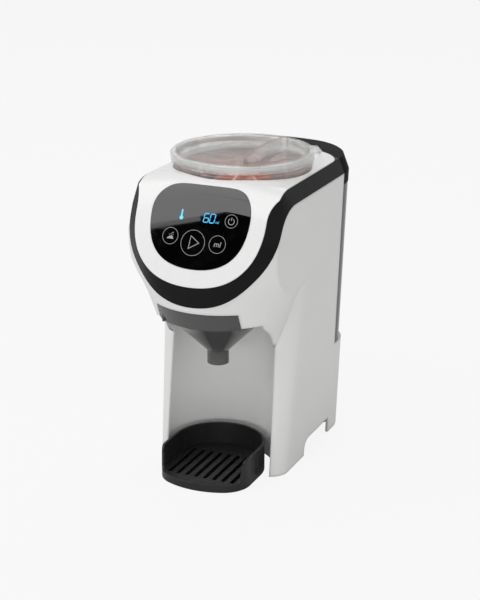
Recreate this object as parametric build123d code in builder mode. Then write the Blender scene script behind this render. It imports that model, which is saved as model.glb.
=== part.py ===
"""Counter-top baby formula maker: a drafted housing on two legs, a tilted touch face in a bevelled trim band,
a powder hopper with a stirring wheel, a lift-out water tank, a pull-out funnel and a drip tray.

Millimetres. +Z is up, the front faces -Y, and the origin is the middle of the footprint on the table.
"""

import os
from math import acos, asin, cos, degrees, hypot, radians, sin, sqrt, tan

from build123d import *

# ---------------------------------------------------------------- driving dimensions
# Overall body
depth = 248.0
base_half = 67.3  # half width at the table
draft = 2.1  # side walls lean out going up, degrees
wall = 2.5
deck_z = 295.6
deck_crown = 490.0  # the deck is a very wide arch across
clear = 0.3  # between pieces that move
seam = 0.2  # between fixed pieces

# Front to back layout
spout_setback = 65.5  # spout axis behind the front of the chin
hopper_offset = 57.4  # hopper axis behind the spout axis
leg_setback = 7.0  # leg fronts at the table stand this far in front of the spout axis
deck_rear = 137.0  # rear edge of the white deck, behind the spout axis
seam_rear = 128.0  # rear edge of the side walls, behind the spout axis

# Plan outline
bow_radius = 95.0  # bowed front of the head
front_corner = 16.0
rear_corner = 49.0  # tank and its lid
foot_corner = 43.0  # lower rear foot
deck_corner = 25.0

# Head and legs
arch_z = 151.0  # height where the leg fronts would meet the underside
arch_radius = 40.0  # leg front into the underside
ceiling_slope = 0.214  # the underside rises this much per millimetre going forward
leg_lean = 0.123  # the leg fronts stand back this much per millimetre going up
leg_corner = 18.0  # rounding of the legs' fronts at the table
bay_roof_z = 163.0
bowl_levels = [  # height, radius, centre behind the spout axis
    (130.0, 53.7, 11.4),
    (163.0, 64.9, 11.4),
    (185.0, 72.2, 10.7),
    (196.0, 80.0, 15.5),
    (204.0, 87.0, 20.3),
    (216.0, 94.5, 25.5),
    (230.0, 98.0, 28.0),
    (320.0, 98.0, 28.0),
]

# Tilted face
face_tilt = 25.2  # from vertical
face_y = -48.5  # the face plane passes here, behind the spout axis ...
face_z = 240.0  # ... at this height
face_half = 65.5
face_low = 38.2  # lowest point of the face, down the slope
face_turn = 27.0  # where the straight sides turn into the rounded bottom
face_full = 1.045  # 1 is an ellipse, more is squarer
bevel_depth = 12.0
bevel_side = 11.5
bevel_bottom = 17.3
bevel_diagonal = (6.6, 7.3)  # across and down, halfway round the bottom
roll_radius = 40.0  # face into deck
band_z = 275.5  # lower edge of the band along the sides
band_half = 77.4
deck_half = 69.4
bend_radius = 34.0

# Touch panel
panel_half = 49.5
panel_top = 58.0
panel_bottom = 21.4
panel_turn = 28.0  # widest here
panel_square_top = 1.14  # 1 is an ellipse, more is squarer
panel_square_low = 1.06
panel_thick = 1.5
panel_sink = 1.2
display_x = 2.0
display_v = 27.0
display_size = (44.0, 16.0, 3.0)
key_spots = [(-27.0, 9.0), (-6.0, 3.0), (16.5, 2.0), (30.0, 23.0)]  # across and up the panel
key_r = 4.0
display_board_size = (88.0, 54.0, 1.6)
display_board_v = 12.0

# Hopper, lid and stirring wheel
hopper_r = 65.9
hopper_wall = 2.2
hopper_floor_z = 237.0
hopper_floor = 3.0
hopper_top_z = 301.0
port_r = 9.0
port_offset = 50.0  # powder port in front of the hopper axis
well_wall = 2.0
lid_r = 68.6
lid_top_z = 308.0
lid_recess_r = 58.3
lid_plate_z = 300.6
lid_plate = 2.0
grip_top_z = 311.0
wheel_r = 61.0
wheel_hub_r = 8.5
wheel_top_z = 290.0
wheel_rim_z = 262.0
blade = 2.4
blades = 6
blade_low_z = 253.0
meter_thick = 8.0  # metering disc with its powder pockets
pockets = 12
scraper_thick = 2.0
lid_wall = 2.0
lid_ring_r = 62.0
lid_skirt_z = 299.5
seal_z = 301.3

# Drive
module = 1.25
gear_teeth = 48
pinion_teeth = 12
gear_thick = 7.0
pinion_thick = 9.0
gear_z = 214.0
shaft_r = 4.0
bush_r = 7.0
running = 0.05  # radial play of a shaft in its bush
motor_r = 17.5
motor_h = 44.0
motor_shaft_r = 3.0
motor_plate_z = 209.5
motor_plate = 2.5
chassis_z = 230.0
chassis_thick = 4.0

# Funnel
funnel_half = 41.0
funnel_plate_z = 178.0
funnel_rim_r = 48.5
funnel_rim_z = 159.0
funnel_floor_z = 161.0
slot_half = 41.6
slot_top_z = 178.6
guide_top_z = 179.2
rail_z = 167.5
chute_r = 11.0
chute_bore = 9.4
nozzle_setback = 26.0
nozzle_tip_z = 173.5
funnel_pan_half = 37.0
funnel_wall = 2.0
cone_low_z = 124.0
spout_r = 10.5
spout_low_z = 111.0

# Drip tray
tray_half = 45.6
tray_front = 58.0  # in front of the spout axis
tray_bow = 73.0
tray_corner = 28.0
tray_h = 29.0
tray_lip = 7.5
tray_wall = 2.2
tray_floor = 2.0
grille_z = 4.6
grille_thick = 2.4
grille_slots = 8
bay_r = 55.0

# Water tank
tank_floor_z = 97.0
tank_wall = 2.2
tank_skirt_z = 264.0
tank_lid_top_z = 295.5
tank_gap = 0.8  # the tank stands in from the walls' line
tank_clear = 1.0
tank_neck_z = 272.0
valve_setback = 158.0
valve_r = 6.5
valve_bore = 4.0
seat_r = 12.0
seat_low_z = 82.0
hose_r = 3.2
hose_bore = 2.0
barb_r = 1.95
pump_r = 18.0
pump_x = (-8.0, 44.0)
pump_z = 45.0
heater_r = 19.0
heater_at = (-42.0, 95.0)  # across, and behind the spout axis
heater_z = (105.0, 195.0)

# Lower parts
arch_front = 57.0
arch_rear = 122.0
arch_h = 17.0
plate_z = 19.0
plate_thick = 2.5
skirt_gap = 0.8  # walls stop this far above the table; the feet carry the load
foot_h = 2.0
front_foot = (61.0, 12.0, 4.5)  # across, behind the spout axis, radius
rear_foot = (48.0, 150.0, 8.0)
screw_r = 1.5
screw_head_r = 2.8
screw_length = 12.0
small_screw_r = 1.2
base_bosses = [(62.5, 66.0), (62.5, 140.0)]
chassis_screws = [(70.0, 20.0), (70.0, 100.0)]
board_x = (8.0, 58.0)
board_y = (68.0, 124.0)
board_z = 27.0
board_thick = 1.6
inlet_x = (-37.0, -17.0)
inlet_z = (66.0, 84.0)

# ---------------------------------------------------------------- worked out from them
front_y = -depth / 2
spout_y = front_y + spout_setback
rear_y = depth / 2
hopper_y = spout_y + hopper_offset
leg_y = spout_y - leg_setback
deck_rear_y = spout_y + deck_rear
seam_y = spout_y + seam_rear
rear_draft = 0.4
far = 400.0
side_slope = bevel_side / bevel_depth
bottom_slope = bevel_bottom / bevel_depth
face_plane = Plane(
    origin=(0, spout_y + face_y, face_z),
    x_dir=(1, 0, 0),
    z_dir=(0, -cos(radians(face_tilt)), sin(radians(face_tilt))),
)
bevel_rise = (deck_z - band_z) / (band_half - deck_half)
deck_edge = deck_crown * (bevel_rise - sqrt(bevel_rise**2 - 2 * bevel_rise * deck_half / deck_crown))
shelf_z = tank_floor_z - clear
port_y = hopper_y - port_offset
pinion_y = hopper_y + module * (gear_teeth + pinion_teeth) / 2

os.makedirs("parts", exist_ok=True)


def half_at(z):
    """Half width of the outer side walls at height z."""
    return base_half + z * tan(radians(draft))


def rear_at(z):
    return rear_y - (deck_z - z) * tan(radians(rear_draft))


def leg_at(z):
    """Y of the leg fronts at height z."""
    return leg_y + leg_lean * z


def face_at(z, behind=0.0):
    """Y of the face plane at height z, or of a plane parallel to it and behind it."""
    return spout_y + face_y + (z - face_z) * tan(radians(face_tilt)) + behind / cos(radians(face_tilt))


def plan_outline(z, front, front_round, rear_round, inset, bow=bow_radius):
    """One closed plan outline of the body: bowed front, straight sides, rounded rear."""
    half = half_at(z) - inset
    rear = rear_at(z) - inset
    bow_y = front + bow
    bow, nose, tail = bow - inset, front_round - inset, rear_round - inset
    nose_y = bow_y - sqrt((bow - nose) ** 2 - (half - nose) ** 2)
    sweep = degrees(asin((half - nose) / (bow - nose)))
    with BuildSketch(Plane.XY.offset(z)) as outline:
        with BuildLine():
            CenterArc((0, bow_y), bow, 270 - sweep, 2 * sweep)
            CenterArc((half - nose, nose_y), nose, 270 + sweep, 90 - sweep)
            Line((half, nose_y), (half, rear - tail))
            CenterArc((half - tail, rear - tail), tail, 0, 90)
            Line((half - tail, rear), (tail - half, rear))
            CenterArc((tail - half, rear - tail), tail, 90, 90)
            Line((-half, rear - tail), (-half, nose_y))
            CenterArc((nose - half, nose_y), nose, 180, 90 - sweep)
        make_face()
    return outline.sketch


def side_profile(x, deck, behind, radius):
    """Side view of the head at one x: deck line, bend and face line, closed far below and behind."""
    with BuildSketch(Plane.YZ.offset(x)) as profile:
        with BuildLine():
            Polyline(
                (far, deck),
                (face_at(deck, behind), deck),
                (face_at(-far, behind), -far),
                (far, -far),
                close=True,
            )
        make_face()
        corner = Vector(face_at(deck, behind), deck)
        fillet(profile.vertices().sort_by_distance(corner)[0], radius)
    return profile.sketch


def face_outline(behind, inset, top=260.0):
    """Right half of the face's rounded-bottom outline, on a plane parallel to the face and behind it."""
    half = face_half + side_slope * behind - inset * hypot(1, side_slope)
    low = face_low + bottom_slope * behind - inset * hypot(1, bottom_slope)
    across, down = (growth * behind / bevel_depth for growth in bevel_diagonal)
    turn_in = inset * hypot(1, hypot(*bevel_diagonal) / bevel_depth) * sqrt(0.5)
    turn_x = face_half * face_full * sqrt(0.5) + across - turn_in
    turn_v = face_turn - (face_low + face_turn) * face_full * sqrt(0.5) - down + turn_in
    with BuildSketch(face_plane.offset(-behind)) as outline:
        with BuildLine():
            Spline((0, -low), (turn_x, turn_v), (half, face_turn), tangents=[(1, 0), (0, 1)])
            Polyline((half, face_turn), (half, top), (0, top), (0, -low))
        make_face()
    return outline.sketch


def walls(inset):
    """Side and rear walls under the deck, running on forward, where the face cuts them."""
    with BuildPart() as body:
        for z in (-1.0, deck_z + 20):
            add(plan_outline(z, front_y - bow_radius, front_corner, rear_corner, inset))
        loft(ruled=True)
    return body.part


def column(inset):
    """Side walls, rear and the two legs' rounded, leaning fronts, before the bay is cut."""
    with BuildPart() as body:
        for z, corner in ((-1.0, leg_corner), (arch_z, leg_corner + 6), (deck_z + 20, leg_corner + 6)):
            add(plan_outline(z, leg_at(z), corner, rear_corner, inset, bow=4 * bow_radius))
        loft(ruled=True)
    return body.part


def bowl(inset):
    """The head's round lower front: circles about upright axes that widen going up."""
    with BuildPart() as body:
        for z, radius, centre in bowl_levels:
            with BuildSketch(Plane.XY.offset(z)):
                with Locations((0, spout_y + centre)):
                    Circle(radius - inset)
        loft(ruled=True)
        add(walls(inset), mode=Mode.INTERSECT)
        add(block((-far, far), (spout_y + 60, far), (-far, far)), mode=Mode.SUBTRACT)
    return body.part


def face_cutter(inset):
    """What lies outside the bevelled face, down to where the side walls take over."""
    front, back = -1.0, 2 * bevel_depth
    with BuildPart() as cone:
        add(face_outline(front, inset))
        add(face_outline(back, inset))
        loft(ruled=True)
        mirror(about=Plane.YZ)
    with BuildPart() as cutter:
        with BuildSketch(face_plane.offset(-back)):
            Rectangle(3 * far, 2 * far)
        extrude(amount=far)
        add(cone.part, mode=Mode.SUBTRACT)
    return cutter.part


def side_cutter(sign, inset):
    """What lies outside the bevelled side edge of the deck."""
    inner_x, outer_x = deck_half - 0.4, band_half + 5

    def section(x):
        share = (x - deck_half) / (band_half - deck_half)
        deck = deck_z - share * (deck_z - band_z) - inset * 1.3
        radius = 4.0 + share * (bend_radius - 4.0)
        return side_profile(sign * (x - inset), deck, share * (bevel_depth - 1) + inset, radius)

    with BuildPart() as inside:
        add(section(inner_x))
        add(section(outer_x))
        loft(ruled=True)
    with BuildPart() as cutter:
        with BuildSketch(Plane.YZ.offset(sign * (inner_x - inset))):
            Rectangle(2 * far, 2 * far)
        extrude(amount=sign * (outer_x - inner_x))
        add(inside.part, mode=Mode.SUBTRACT)
    return cutter.part


def head_form(inset):
    """Head with its tilted face, rolled brow, crowned deck and bevels, or the same form moved in."""
    with BuildPart() as form:
        add(walls(inset))
        with BuildSketch(Plane.XZ.offset(-far)):
            with Locations((0, deck_z - deck_crown)):
                Circle(deck_crown - inset)
        extrude(amount=2 * far, mode=Mode.INTERSECT)
        with BuildSketch(face_plane.offset(-inset)):
            Rectangle(far, far)
        extrude(amount=far, mode=Mode.SUBTRACT)
        brow = Vector(0, face_at(deck_z), deck_z)
        fillet(form.edges().sort_by_distance(brow)[0], roll_radius - inset)
        add(face_cutter(inset), mode=Mode.SUBTRACT)
        for sign in (-1, 1):
            add(side_cutter(sign, inset), mode=Mode.SUBTRACT)
    return form.part


def below_band(lift=0.0):
    """All that lies behind and below the edge where the head's band meets the housing."""
    with BuildPart() as region:
        extrude(side_profile(-far / 2, band_z + lift, bevel_depth - lift, bend_radius), amount=far)
    return region.part


def block(x, y, z):
    """A box between two limits on each axis, to cut or join with."""
    with BuildPart() as box:
        with BuildSketch(Plane.XY.offset(z[0])):
            with Locations(((x[0] + x[1]) / 2, (y[0] + y[1]) / 2)):
                Rectangle(x[1] - x[0], y[1] - y[0])
        extrude(amount=z[1] - z[0])
    return box.part


def post(x, y, radius, low, high):
    """An upright cylinder."""
    with BuildPart() as cylinder:
        with BuildSketch(Plane.XY.offset(low)):
            with Locations((x, y)):
                Circle(radius)
        extrude(amount=high - low)
    return cylinder.part


def deck_outline(grow):
    """Plan of the white deck behind the brow, with its rounded rear corners."""
    half = deck_edge + grow
    rear = deck_rear_y + grow
    with BuildPart() as region:
        with BuildSketch(Plane.XY.offset(tank_floor_z - 20)) as outline:
            with BuildLine():
                Polyline(
                    (-half, spout_y), (half, spout_y), (half, rear), (-half, rear), close=True
                )
            make_face()
            fillet(outline.vertices().group_by(Axis.Y)[-1], deck_corner + grow)
        extrude(amount=far)
    return region.part


def cover_region(grow):
    """Prism under the white cover: square to the face in front, upright behind."""
    brow_v = (deck_z - deck_edge**2 / deck_crown / 2 - face_z) / cos(radians(face_tilt))
    roll_v = brow_v - roll_radius * tan(radians(90 - face_tilt) / 2)
    # Seen square to the face, the bevel's edge follows the roll along part of an ellipse.
    roll_x = face_half + side_slope * roll_radius
    roll_end = degrees(acos((deck_edge - roll_x) / (side_slope * roll_radius)))
    reach = roll_radius * sin(radians(roll_end))
    turn = face_full * sqrt(0.5)
    turn_x, turn_v = face_half * turn, face_turn - (face_low + face_turn) * turn
    nudge = grow * sqrt(0.5)
    top_v = roll_v + reach + 22
    with BuildPart() as region:
        with BuildSketch(face_plane.offset(5)):
            with BuildLine():
                Spline(
                    (0, -face_low - grow),
                    (turn_x + nudge, turn_v - nudge),
                    (face_half + grow, face_turn),
                    tangents=[(1, 0), (0, 1)],
                )
                Line((face_half + grow, face_turn), (face_half + grow, roll_v))
                EllipticalCenterArc(
                    (roll_x + grow, roll_v),
                    side_slope * roll_radius,
                    roll_radius,
                    start_angle=roll_end,
                    arc_size=180 - roll_end,
                )
                Polyline(
                    (deck_edge + grow, roll_v + reach),
                    (deck_edge + grow, top_v),
                    (0, top_v),
                    (0, -face_low - grow),
                )
            make_face()
            mirror(about=Plane.YZ)
        extrude(amount=-60)
        add(deck_outline(grow))
    return region.part


def front_cut(grow):
    """The space in front of the legs and under the head, seen from the side."""
    corner = (leg_at(arch_z) + grow, arch_z + grow)
    with BuildPart() as region:
        with BuildSketch(Plane.YZ.offset(-far / 2)) as profile:
            with BuildLine():
                Polyline(
                    (leg_at(-far) + grow, -far),
                    corner,
                    (-far, arch_z + ceiling_slope * (far + leg_at(arch_z)) + grow),
                    (-far, -far),
                    close=True,
                )
            make_face()
            fillet(profile.vertices().sort_by_distance(Vector(*corner))[0], arch_radius + grow)
        extrude(amount=far)
    return region.part


def bay_cut(grow):
    """The bottle bay: round at the back and open in front."""
    with BuildPart() as region:
        with BuildSketch(Plane.XY.offset(-5)):
            with Locations((0, spout_y - 1)):
                Circle(bay_r + grow)
            with Locations((0, spout_y - 1 - far / 4)):
                Rectangle(2 * (bay_r + grow), far / 2)
        extrude(amount=bay_roof_z + 5 + grow)
    return region.part


def tank_niche(grow):
    """Where the tank stands: behind the side walls and the deck, above the shelf."""
    with BuildPart() as region:
        add(block((-far, far), (seam_y - grow, far), (shelf_z - grow, far)))
        add(deck_outline(-grow), mode=Mode.SUBTRACT)
    return region.part


def foot_block(inset):
    """The squarer rear corners of the lower body, under the tank."""
    with BuildPart() as lower:
        for z in (-1.0, shelf_z - inset):
            add(plan_outline(z, leg_y, leg_corner, foot_corner, inset))
        loft(ruled=True)
        add(block((-far, far), (-far, spout_y + 60), (-far, far)), mode=Mode.SUBTRACT)
    return lower.part


def body_solid(inset):
    """Housing's outer solid, or its inside, before holes."""
    with BuildPart() as solid:
        add(column(inset))
        add(bowl(inset))
        add(foot_block(inset))
        add(below_band(inset), mode=Mode.INTERSECT)
        add(front_cut(inset), mode=Mode.SUBTRACT)
        add(bay_cut(inset), mode=Mode.SUBTRACT)
        add(tank_niche(inset), mode=Mode.SUBTRACT)
    return solid.part


def at(behind):
    """Y of a place given as its distance behind the spout axis."""
    return spout_y + behind


def ring(x, y, outer, inner, low, high):
    """An upright round tube or washer."""
    with BuildPart() as tube:
        with BuildSketch(Plane.XY.offset(low)):
            with Locations((x, y)):
                Circle(outer)
                Circle(inner, mode=Mode.SUBTRACT)
        extrude(amount=high - low)
    return tube.part


def across(x, y, z, radius, length):
    """A cylinder along X, from x on."""
    with BuildPart() as cylinder:
        with BuildSketch(Plane.YZ.offset(x)):
            with Locations((y, z)):
                Circle(radius)
        extrude(amount=length)
    return cylinder.part


def screw(x, y, seat_z, up, radius, head_r, length):
    """A screw with a six-sided recess. Its head is above its seat, or below it where up is -1."""
    with BuildPart() as body:
        with BuildSketch(Plane.XY.offset(seat_z)):
            with Locations((x, y)):
                Circle(head_r)
        extrude(amount=up * 0.65 * head_r)
        with BuildSketch(Plane.XY.offset(seat_z)):
            with Locations((x, y)):
                Circle(radius)
        extrude(amount=-up * length)
        with BuildSketch(Plane.XY.offset(seat_z + up * 0.25 * head_r)):
            with Locations((x, y)):
                RegularPolygon(0.5 * head_r, 6)
        extrude(amount=up * head_r, mode=Mode.SUBTRACT)
    return body.part


def gear(y, teeth, low, thick, bore, turn):
    """A spur gear with straight-sided teeth; turn moves the first tooth from +Y, in teeth."""
    pitch_r = module * teeth / 2
    tooth = [(pitch_r - 1.4 * module, 0.86), (pitch_r, 0.68), (pitch_r + module, 0.34)]
    with BuildPart() as wheel:
        with BuildSketch(Plane.XY.offset(low)):
            with Locations((0, y)):
                Circle(pitch_r - 1.25 * module)
                with Locations(Rotation(0, 0, 360 * turn / teeth)):
                    with PolarLocations(0, teeth):
                        with Locations((0, 0)):
                            Polygon(
                                *[(r, -half * module) for r, half in tooth],
                                *[(r, half * module) for r, half in reversed(tooth)],
                                align=None,
                            )
                Circle(bore, mode=Mode.SUBTRACT)
        extrude(amount=thick)
    return wheel.part


def hose(points, bend):
    """A soft tube along straight runs joined by even bends."""
    heading = Vector(*points[1]) - Vector(*points[0])
    with BuildPart() as tube:
        for radius, mode in ((hose_r, Mode.ADD), (hose_bore, Mode.SUBTRACT)):
            with BuildLine() as path:
                FilletPolyline(*points, radius=bend)
            with BuildSketch(Plane(origin=points[0], z_dir=heading)):
                Circle(radius)
            sweep(path=path.wire(), mode=mode)
    return tube.part


def panel_prism(grow):
    """The touch panel's outline as a prism square to the face."""
    half, top, low = panel_half + grow, panel_top + grow - panel_turn, panel_bottom + grow + panel_turn
    above, below = panel_square_top * sqrt(0.5), panel_square_low * sqrt(0.5)
    with BuildPart() as prism:
        with BuildSketch(face_plane.offset(6)):
            with BuildLine():
                Spline(
                    (0, panel_turn + top),
                    (half * above, panel_turn + top * above),
                    (half, panel_turn),
                    tangents=[(1, 0), (0, -1)],
                )
                Spline(
                    (half, panel_turn),
                    (half * below, panel_turn - low * below),
                    (0, panel_turn - low),
                    tangents=[(0, -1), (-1, 0)],
                )
                Line((0, panel_turn - low), (0, panel_turn + top))
            make_face()
            mirror(about=Plane.YZ)
        extrude(amount=-26)
    return prism.part


def on_panel(spots, behind, thick, radius):
    """Round pieces standing square to the face, starting behind it and going in."""
    with BuildPart() as discs:
        with BuildSketch(face_plane.offset(-behind)):
            with Locations(*spots):
                Circle(radius)
        extrude(amount=-thick)
    return discs.part


def face_box(x, v, size, behind, thick):
    """A box standing square to the face, starting behind it and going in."""
    with BuildPart() as box:
        with BuildSketch(face_plane.offset(-behind)):
            with Locations((x, v)):
                Rectangle(*size)
        extrude(amount=-thick)
    return box.part


def tray_outline(z, inset, height):
    """Plan of the drip tray as a block: round behind, straight sides, bowed front."""
    with BuildPart() as form:
        with BuildSketch(Plane.XY.offset(z)) as outline:
            with Locations((0, spout_y - 1)):
                Circle(tray_half - inset)
            with Locations((0, spout_y - 1 - far / 4)):
                Rectangle(2 * (tray_half - inset), far / 2)
            with Locations((0, spout_y - tray_front + tray_bow)):
                Circle(tray_bow - inset, mode=Mode.INTERSECT)
            fillet(outline.vertices().group_by(Axis.Y)[0], tray_corner - inset)
        extrude(amount=height)
    return form.part


def tank_form(inset, low, high):
    """The water tank's space between two heights, moved in all round."""
    with BuildPart() as form:
        for z in (low, high):
            add(plan_outline(z, leg_y, leg_corner, rear_corner, tank_gap + inset))
        loft(ruled=True)
        add(block((-far, far), (-far, seam_y + tank_clear + inset), (-far, far)), mode=Mode.SUBTRACT)
        add(deck_outline(tank_clear + inset), mode=Mode.SUBTRACT)
    return form.part


def tank_lid_form(inset, low):
    """The tank lid: it carries the walls, the side bevels and the crown of the deck on round the back."""
    top = deck_z + 5
    levels = [(low, 0.0), (band_z, 0.0), (top, (top - band_z) / bevel_rise)]
    with BuildPart() as form:
        for z, lean in levels:
            add(plan_outline(z, leg_y, leg_corner, rear_corner, tank_gap / 2 + inset + lean))
        loft(ruled=True)
        with BuildSketch(Plane.XZ.offset(-far)):
            with Locations((0, deck_z - deck_crown)):
                Circle(deck_crown - inset)
        extrude(amount=2 * far, mode=Mode.INTERSECT)
        add(block((-far, far), (-far, seam_y + clear + inset), (-far, far)), mode=Mode.SUBTRACT)
        add(deck_outline(clear + inset), mode=Mode.SUBTRACT)
    return form.part


# ---------------------------------------------------------------- housing
outer_body = body_solid(0.0)
inner_body = body_solid(wall)

with BuildPart() as housing:
    add(outer_body)
    with BuildPart(mode=Mode.PRIVATE) as hollow:
        add(inner_body)
        add(block((-far, far), (-far, at(54)), (-far, skirt_gap + wall)), mode=Mode.SUBTRACT)
    add(hollow.part, mode=Mode.SUBTRACT)
    add(block((-far, far), (-far, far), (-far, skirt_gap)), mode=Mode.SUBTRACT)
    # The funnel's slot through the front and the underside.
    add(
        block((-slot_half, slot_half), (-far, at(49)), (bay_roof_z - 8, slot_top_z)),
        mode=Mode.SUBTRACT,
    )
    # Gaps to lift the machine by, one in each side wall.
    with BuildSketch(Plane.YZ.offset(-far / 2)) as gap:
        with BuildLine():
            Polyline(
                (at(arch_front), -5),
                (at(arch_front), arch_h),
                (at(arch_rear), arch_h),
                (at(arch_rear), -5),
                close=True,
            )
        make_face()
        fillet(gap.vertices().sort_by_distance(Vector(at(arch_front), arch_h))[0], 11)
    extrude(amount=far, mode=Mode.SUBTRACT)
    # Ledges that carry the chassis, bosses for the base plate.
    for sign in (-1, 1):
        side = sorted((sign * 67.0, sign * 74.4))
        add(block(side, (at(12), at(108)), (chassis_z - 9, chassis_z)))
        for x, behind in base_bosses:
            add(post(sign * x, at(behind), 4.0, plate_z + plate_thick, plate_z + 18))
            add(post(sign * x, at(behind), screw_r + 0.1, plate_z, plate_z + 15), mode=Mode.SUBTRACT)
        for x, behind in chassis_screws:
            add(post(sign * x, at(behind), screw_r + 0.1, chassis_z - 9, chassis_z), mode=Mode.SUBTRACT)
        x, behind, radius = front_foot
        add(post(sign * x, at(behind), radius + 0.2, 0, foot_h), mode=Mode.SUBTRACT)
    # The tank's seat through the shelf, the power inlet through the rear.
    add(post(0, at(valve_setback), seat_r + 0.2, shelf_z - 6, shelf_z + 1), mode=Mode.SUBTRACT)
    inlet_hole = block(
        (inlet_x[0] - 0.2, inlet_x[1] + 0.2), (at(170), far), (inlet_z[0] - 0.2, inlet_z[1] + 0.2)
    )
    add(inlet_hole, mode=Mode.SUBTRACT)
housing.part.label = "housing"
export_step(housing.part, "parts/housing.step")

outer_head = head_form(0.0)

with BuildPart() as trim_band:
    add(outer_head)
    add(below_band(seam), mode=Mode.SUBTRACT)
    add(cover_region(seam / 2), mode=Mode.SUBTRACT)
    add(block((-far, far), (seam_y, far), (-far, far)), mode=Mode.SUBTRACT)
trim_band.part.label = "trim_band"
export_step(trim_band.part, "parts/trim_band.step")

display_depth = wall + 0.4
board_depth = display_depth + display_size[2]
sunk_head = head_form(panel_sink)
board_spots = [(sign * 40, display_board_v + 18) for sign in (-1, 1)]
board_spots += [(sign * 30, display_board_v - 23) for sign in (-1, 1)]

with BuildPart() as top_cover:
    add(outer_head)
    add(cover_region(-seam), mode=Mode.INTERSECT)
    add(below_band(seam), mode=Mode.SUBTRACT)
    with BuildPart(mode=Mode.PRIVATE) as under:
        add(head_form(wall))
        add(cover_region(-seam - wall), mode=Mode.INTERSECT)
    add(under.part, mode=Mode.SUBTRACT)
    add(post(0, hopper_y, hopper_r + 0.7, deck_z - 60, deck_z + 9), mode=Mode.SUBTRACT)
    # Bed for the touch panel, with a window for the display and holes for the key pads.
    add(on_panel(board_spots, wall - 0.2, board_depth - wall + 0.2, 3.0))
    add(on_panel(board_spots, wall + 0.3, 5, small_screw_r + 0.05), mode=Mode.SUBTRACT)
    add(on_panel(key_spots, 0, 4, key_r + 0.5), mode=Mode.SUBTRACT)
    window = face_box(display_x, display_v, (display_size[0] - 3, display_size[1] - 3), 0, 5)
    add(window, mode=Mode.SUBTRACT)
    with BuildPart(mode=Mode.PRIVATE) as bed:
        add(panel_prism(0.15))
        add(sunk_head, mode=Mode.SUBTRACT)
    add(bed.part, mode=Mode.SUBTRACT)
top_cover.part.label = "top_cover"
export_step(top_cover.part, "parts/top_cover.step")

# ---------------------------------------------------------------- touch face
with BuildPart() as control_panel:
    add(head_form(panel_sink - panel_thick))
    add(panel_prism(0), mode=Mode.INTERSECT)
    add(sunk_head, mode=Mode.SUBTRACT)
control_panel.part.label = "control_panel"
export_step(control_panel.part, "parts/control_panel.step")

with BuildPart() as display_module:
    add(face_box(display_x, display_v, display_size[:2], display_depth, display_size[2]))
display_module.part.label = "display_module"
export_step(display_module.part, "parts/display_module.step")

with BuildPart() as key_pads:
    add(on_panel(key_spots, panel_sink + 0.1, board_depth - panel_sink - 0.1, key_r))
key_pads.part.label = "key_pads"
export_step(key_pads.part, "parts/key_pads.step")

with BuildPart() as display_board:
    add(face_box(0, display_board_v, display_board_size[:2], board_depth, display_board_size[2]))
    add(on_panel(board_spots, board_depth - 1, 4, small_screw_r + 0.2), mode=Mode.SUBTRACT)
    # Chips and a connector on its back.
    back = board_depth + display_board_size[2]
    add(face_box(-20, display_board_v, (12, 12), back, 1.6))
    add(face_box(12, display_board_v + 12, (18, 6), back, 5))
    with BuildSketch(face_plane.offset(-back)):
        with Locations((22, display_board_v - 12)):
            with GridLocations(7, 9, 3, 2):
                Rectangle(3.2, 1.8)
    extrude(amount=-1.0)
display_board.part.label = "display_board"
export_step(display_board.part, "parts/display_board.step")

# ---------------------------------------------------------------- powder hopper and lid
with BuildPart() as hopper:
    add(ring(0, hopper_y, hopper_r, hopper_r - hopper_wall, hopper_floor_z, hopper_top_z))
    add(ring(0, hopper_y, hopper_r + 2.3, hopper_r - 1, deck_z + 0.8, lid_skirt_z - 0.9))
    add(ring(0, hopper_y, hopper_r - 1, wheel_hub_r, hopper_floor_z, hopper_floor_z + hopper_floor))
    add(post(0, port_y, port_r, 0, chassis_z + 20), mode=Mode.SUBTRACT)
    # Two ledges that the powder scraper rests on.
    for sign in (-1, 1):
        with BuildPart(mode=Mode.PRIVATE) as ledge:
            shelf_top = hopper_floor_z + hopper_floor + clear + meter_thick + clear
            add(ring(0, hopper_y, hopper_r - 1, wheel_r + 0.6, shelf_top - 2.5, shelf_top))
            x = sorted((sign * 22, sign * 32))
            add(block(x, (-far, hopper_y), (0, far)), mode=Mode.INTERSECT)
        add(ledge.part)
hopper.part.label = "hopper"
export_step(hopper.part, "parts/hopper.step")

wheel_low_z = hopper_floor_z + hopper_floor + clear
meter_top_z = wheel_low_z + meter_thick
scraper_z = meter_top_z + clear
hex_r = shaft_r + 0.3
hex_top_z = wheel_low_z + 20

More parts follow.
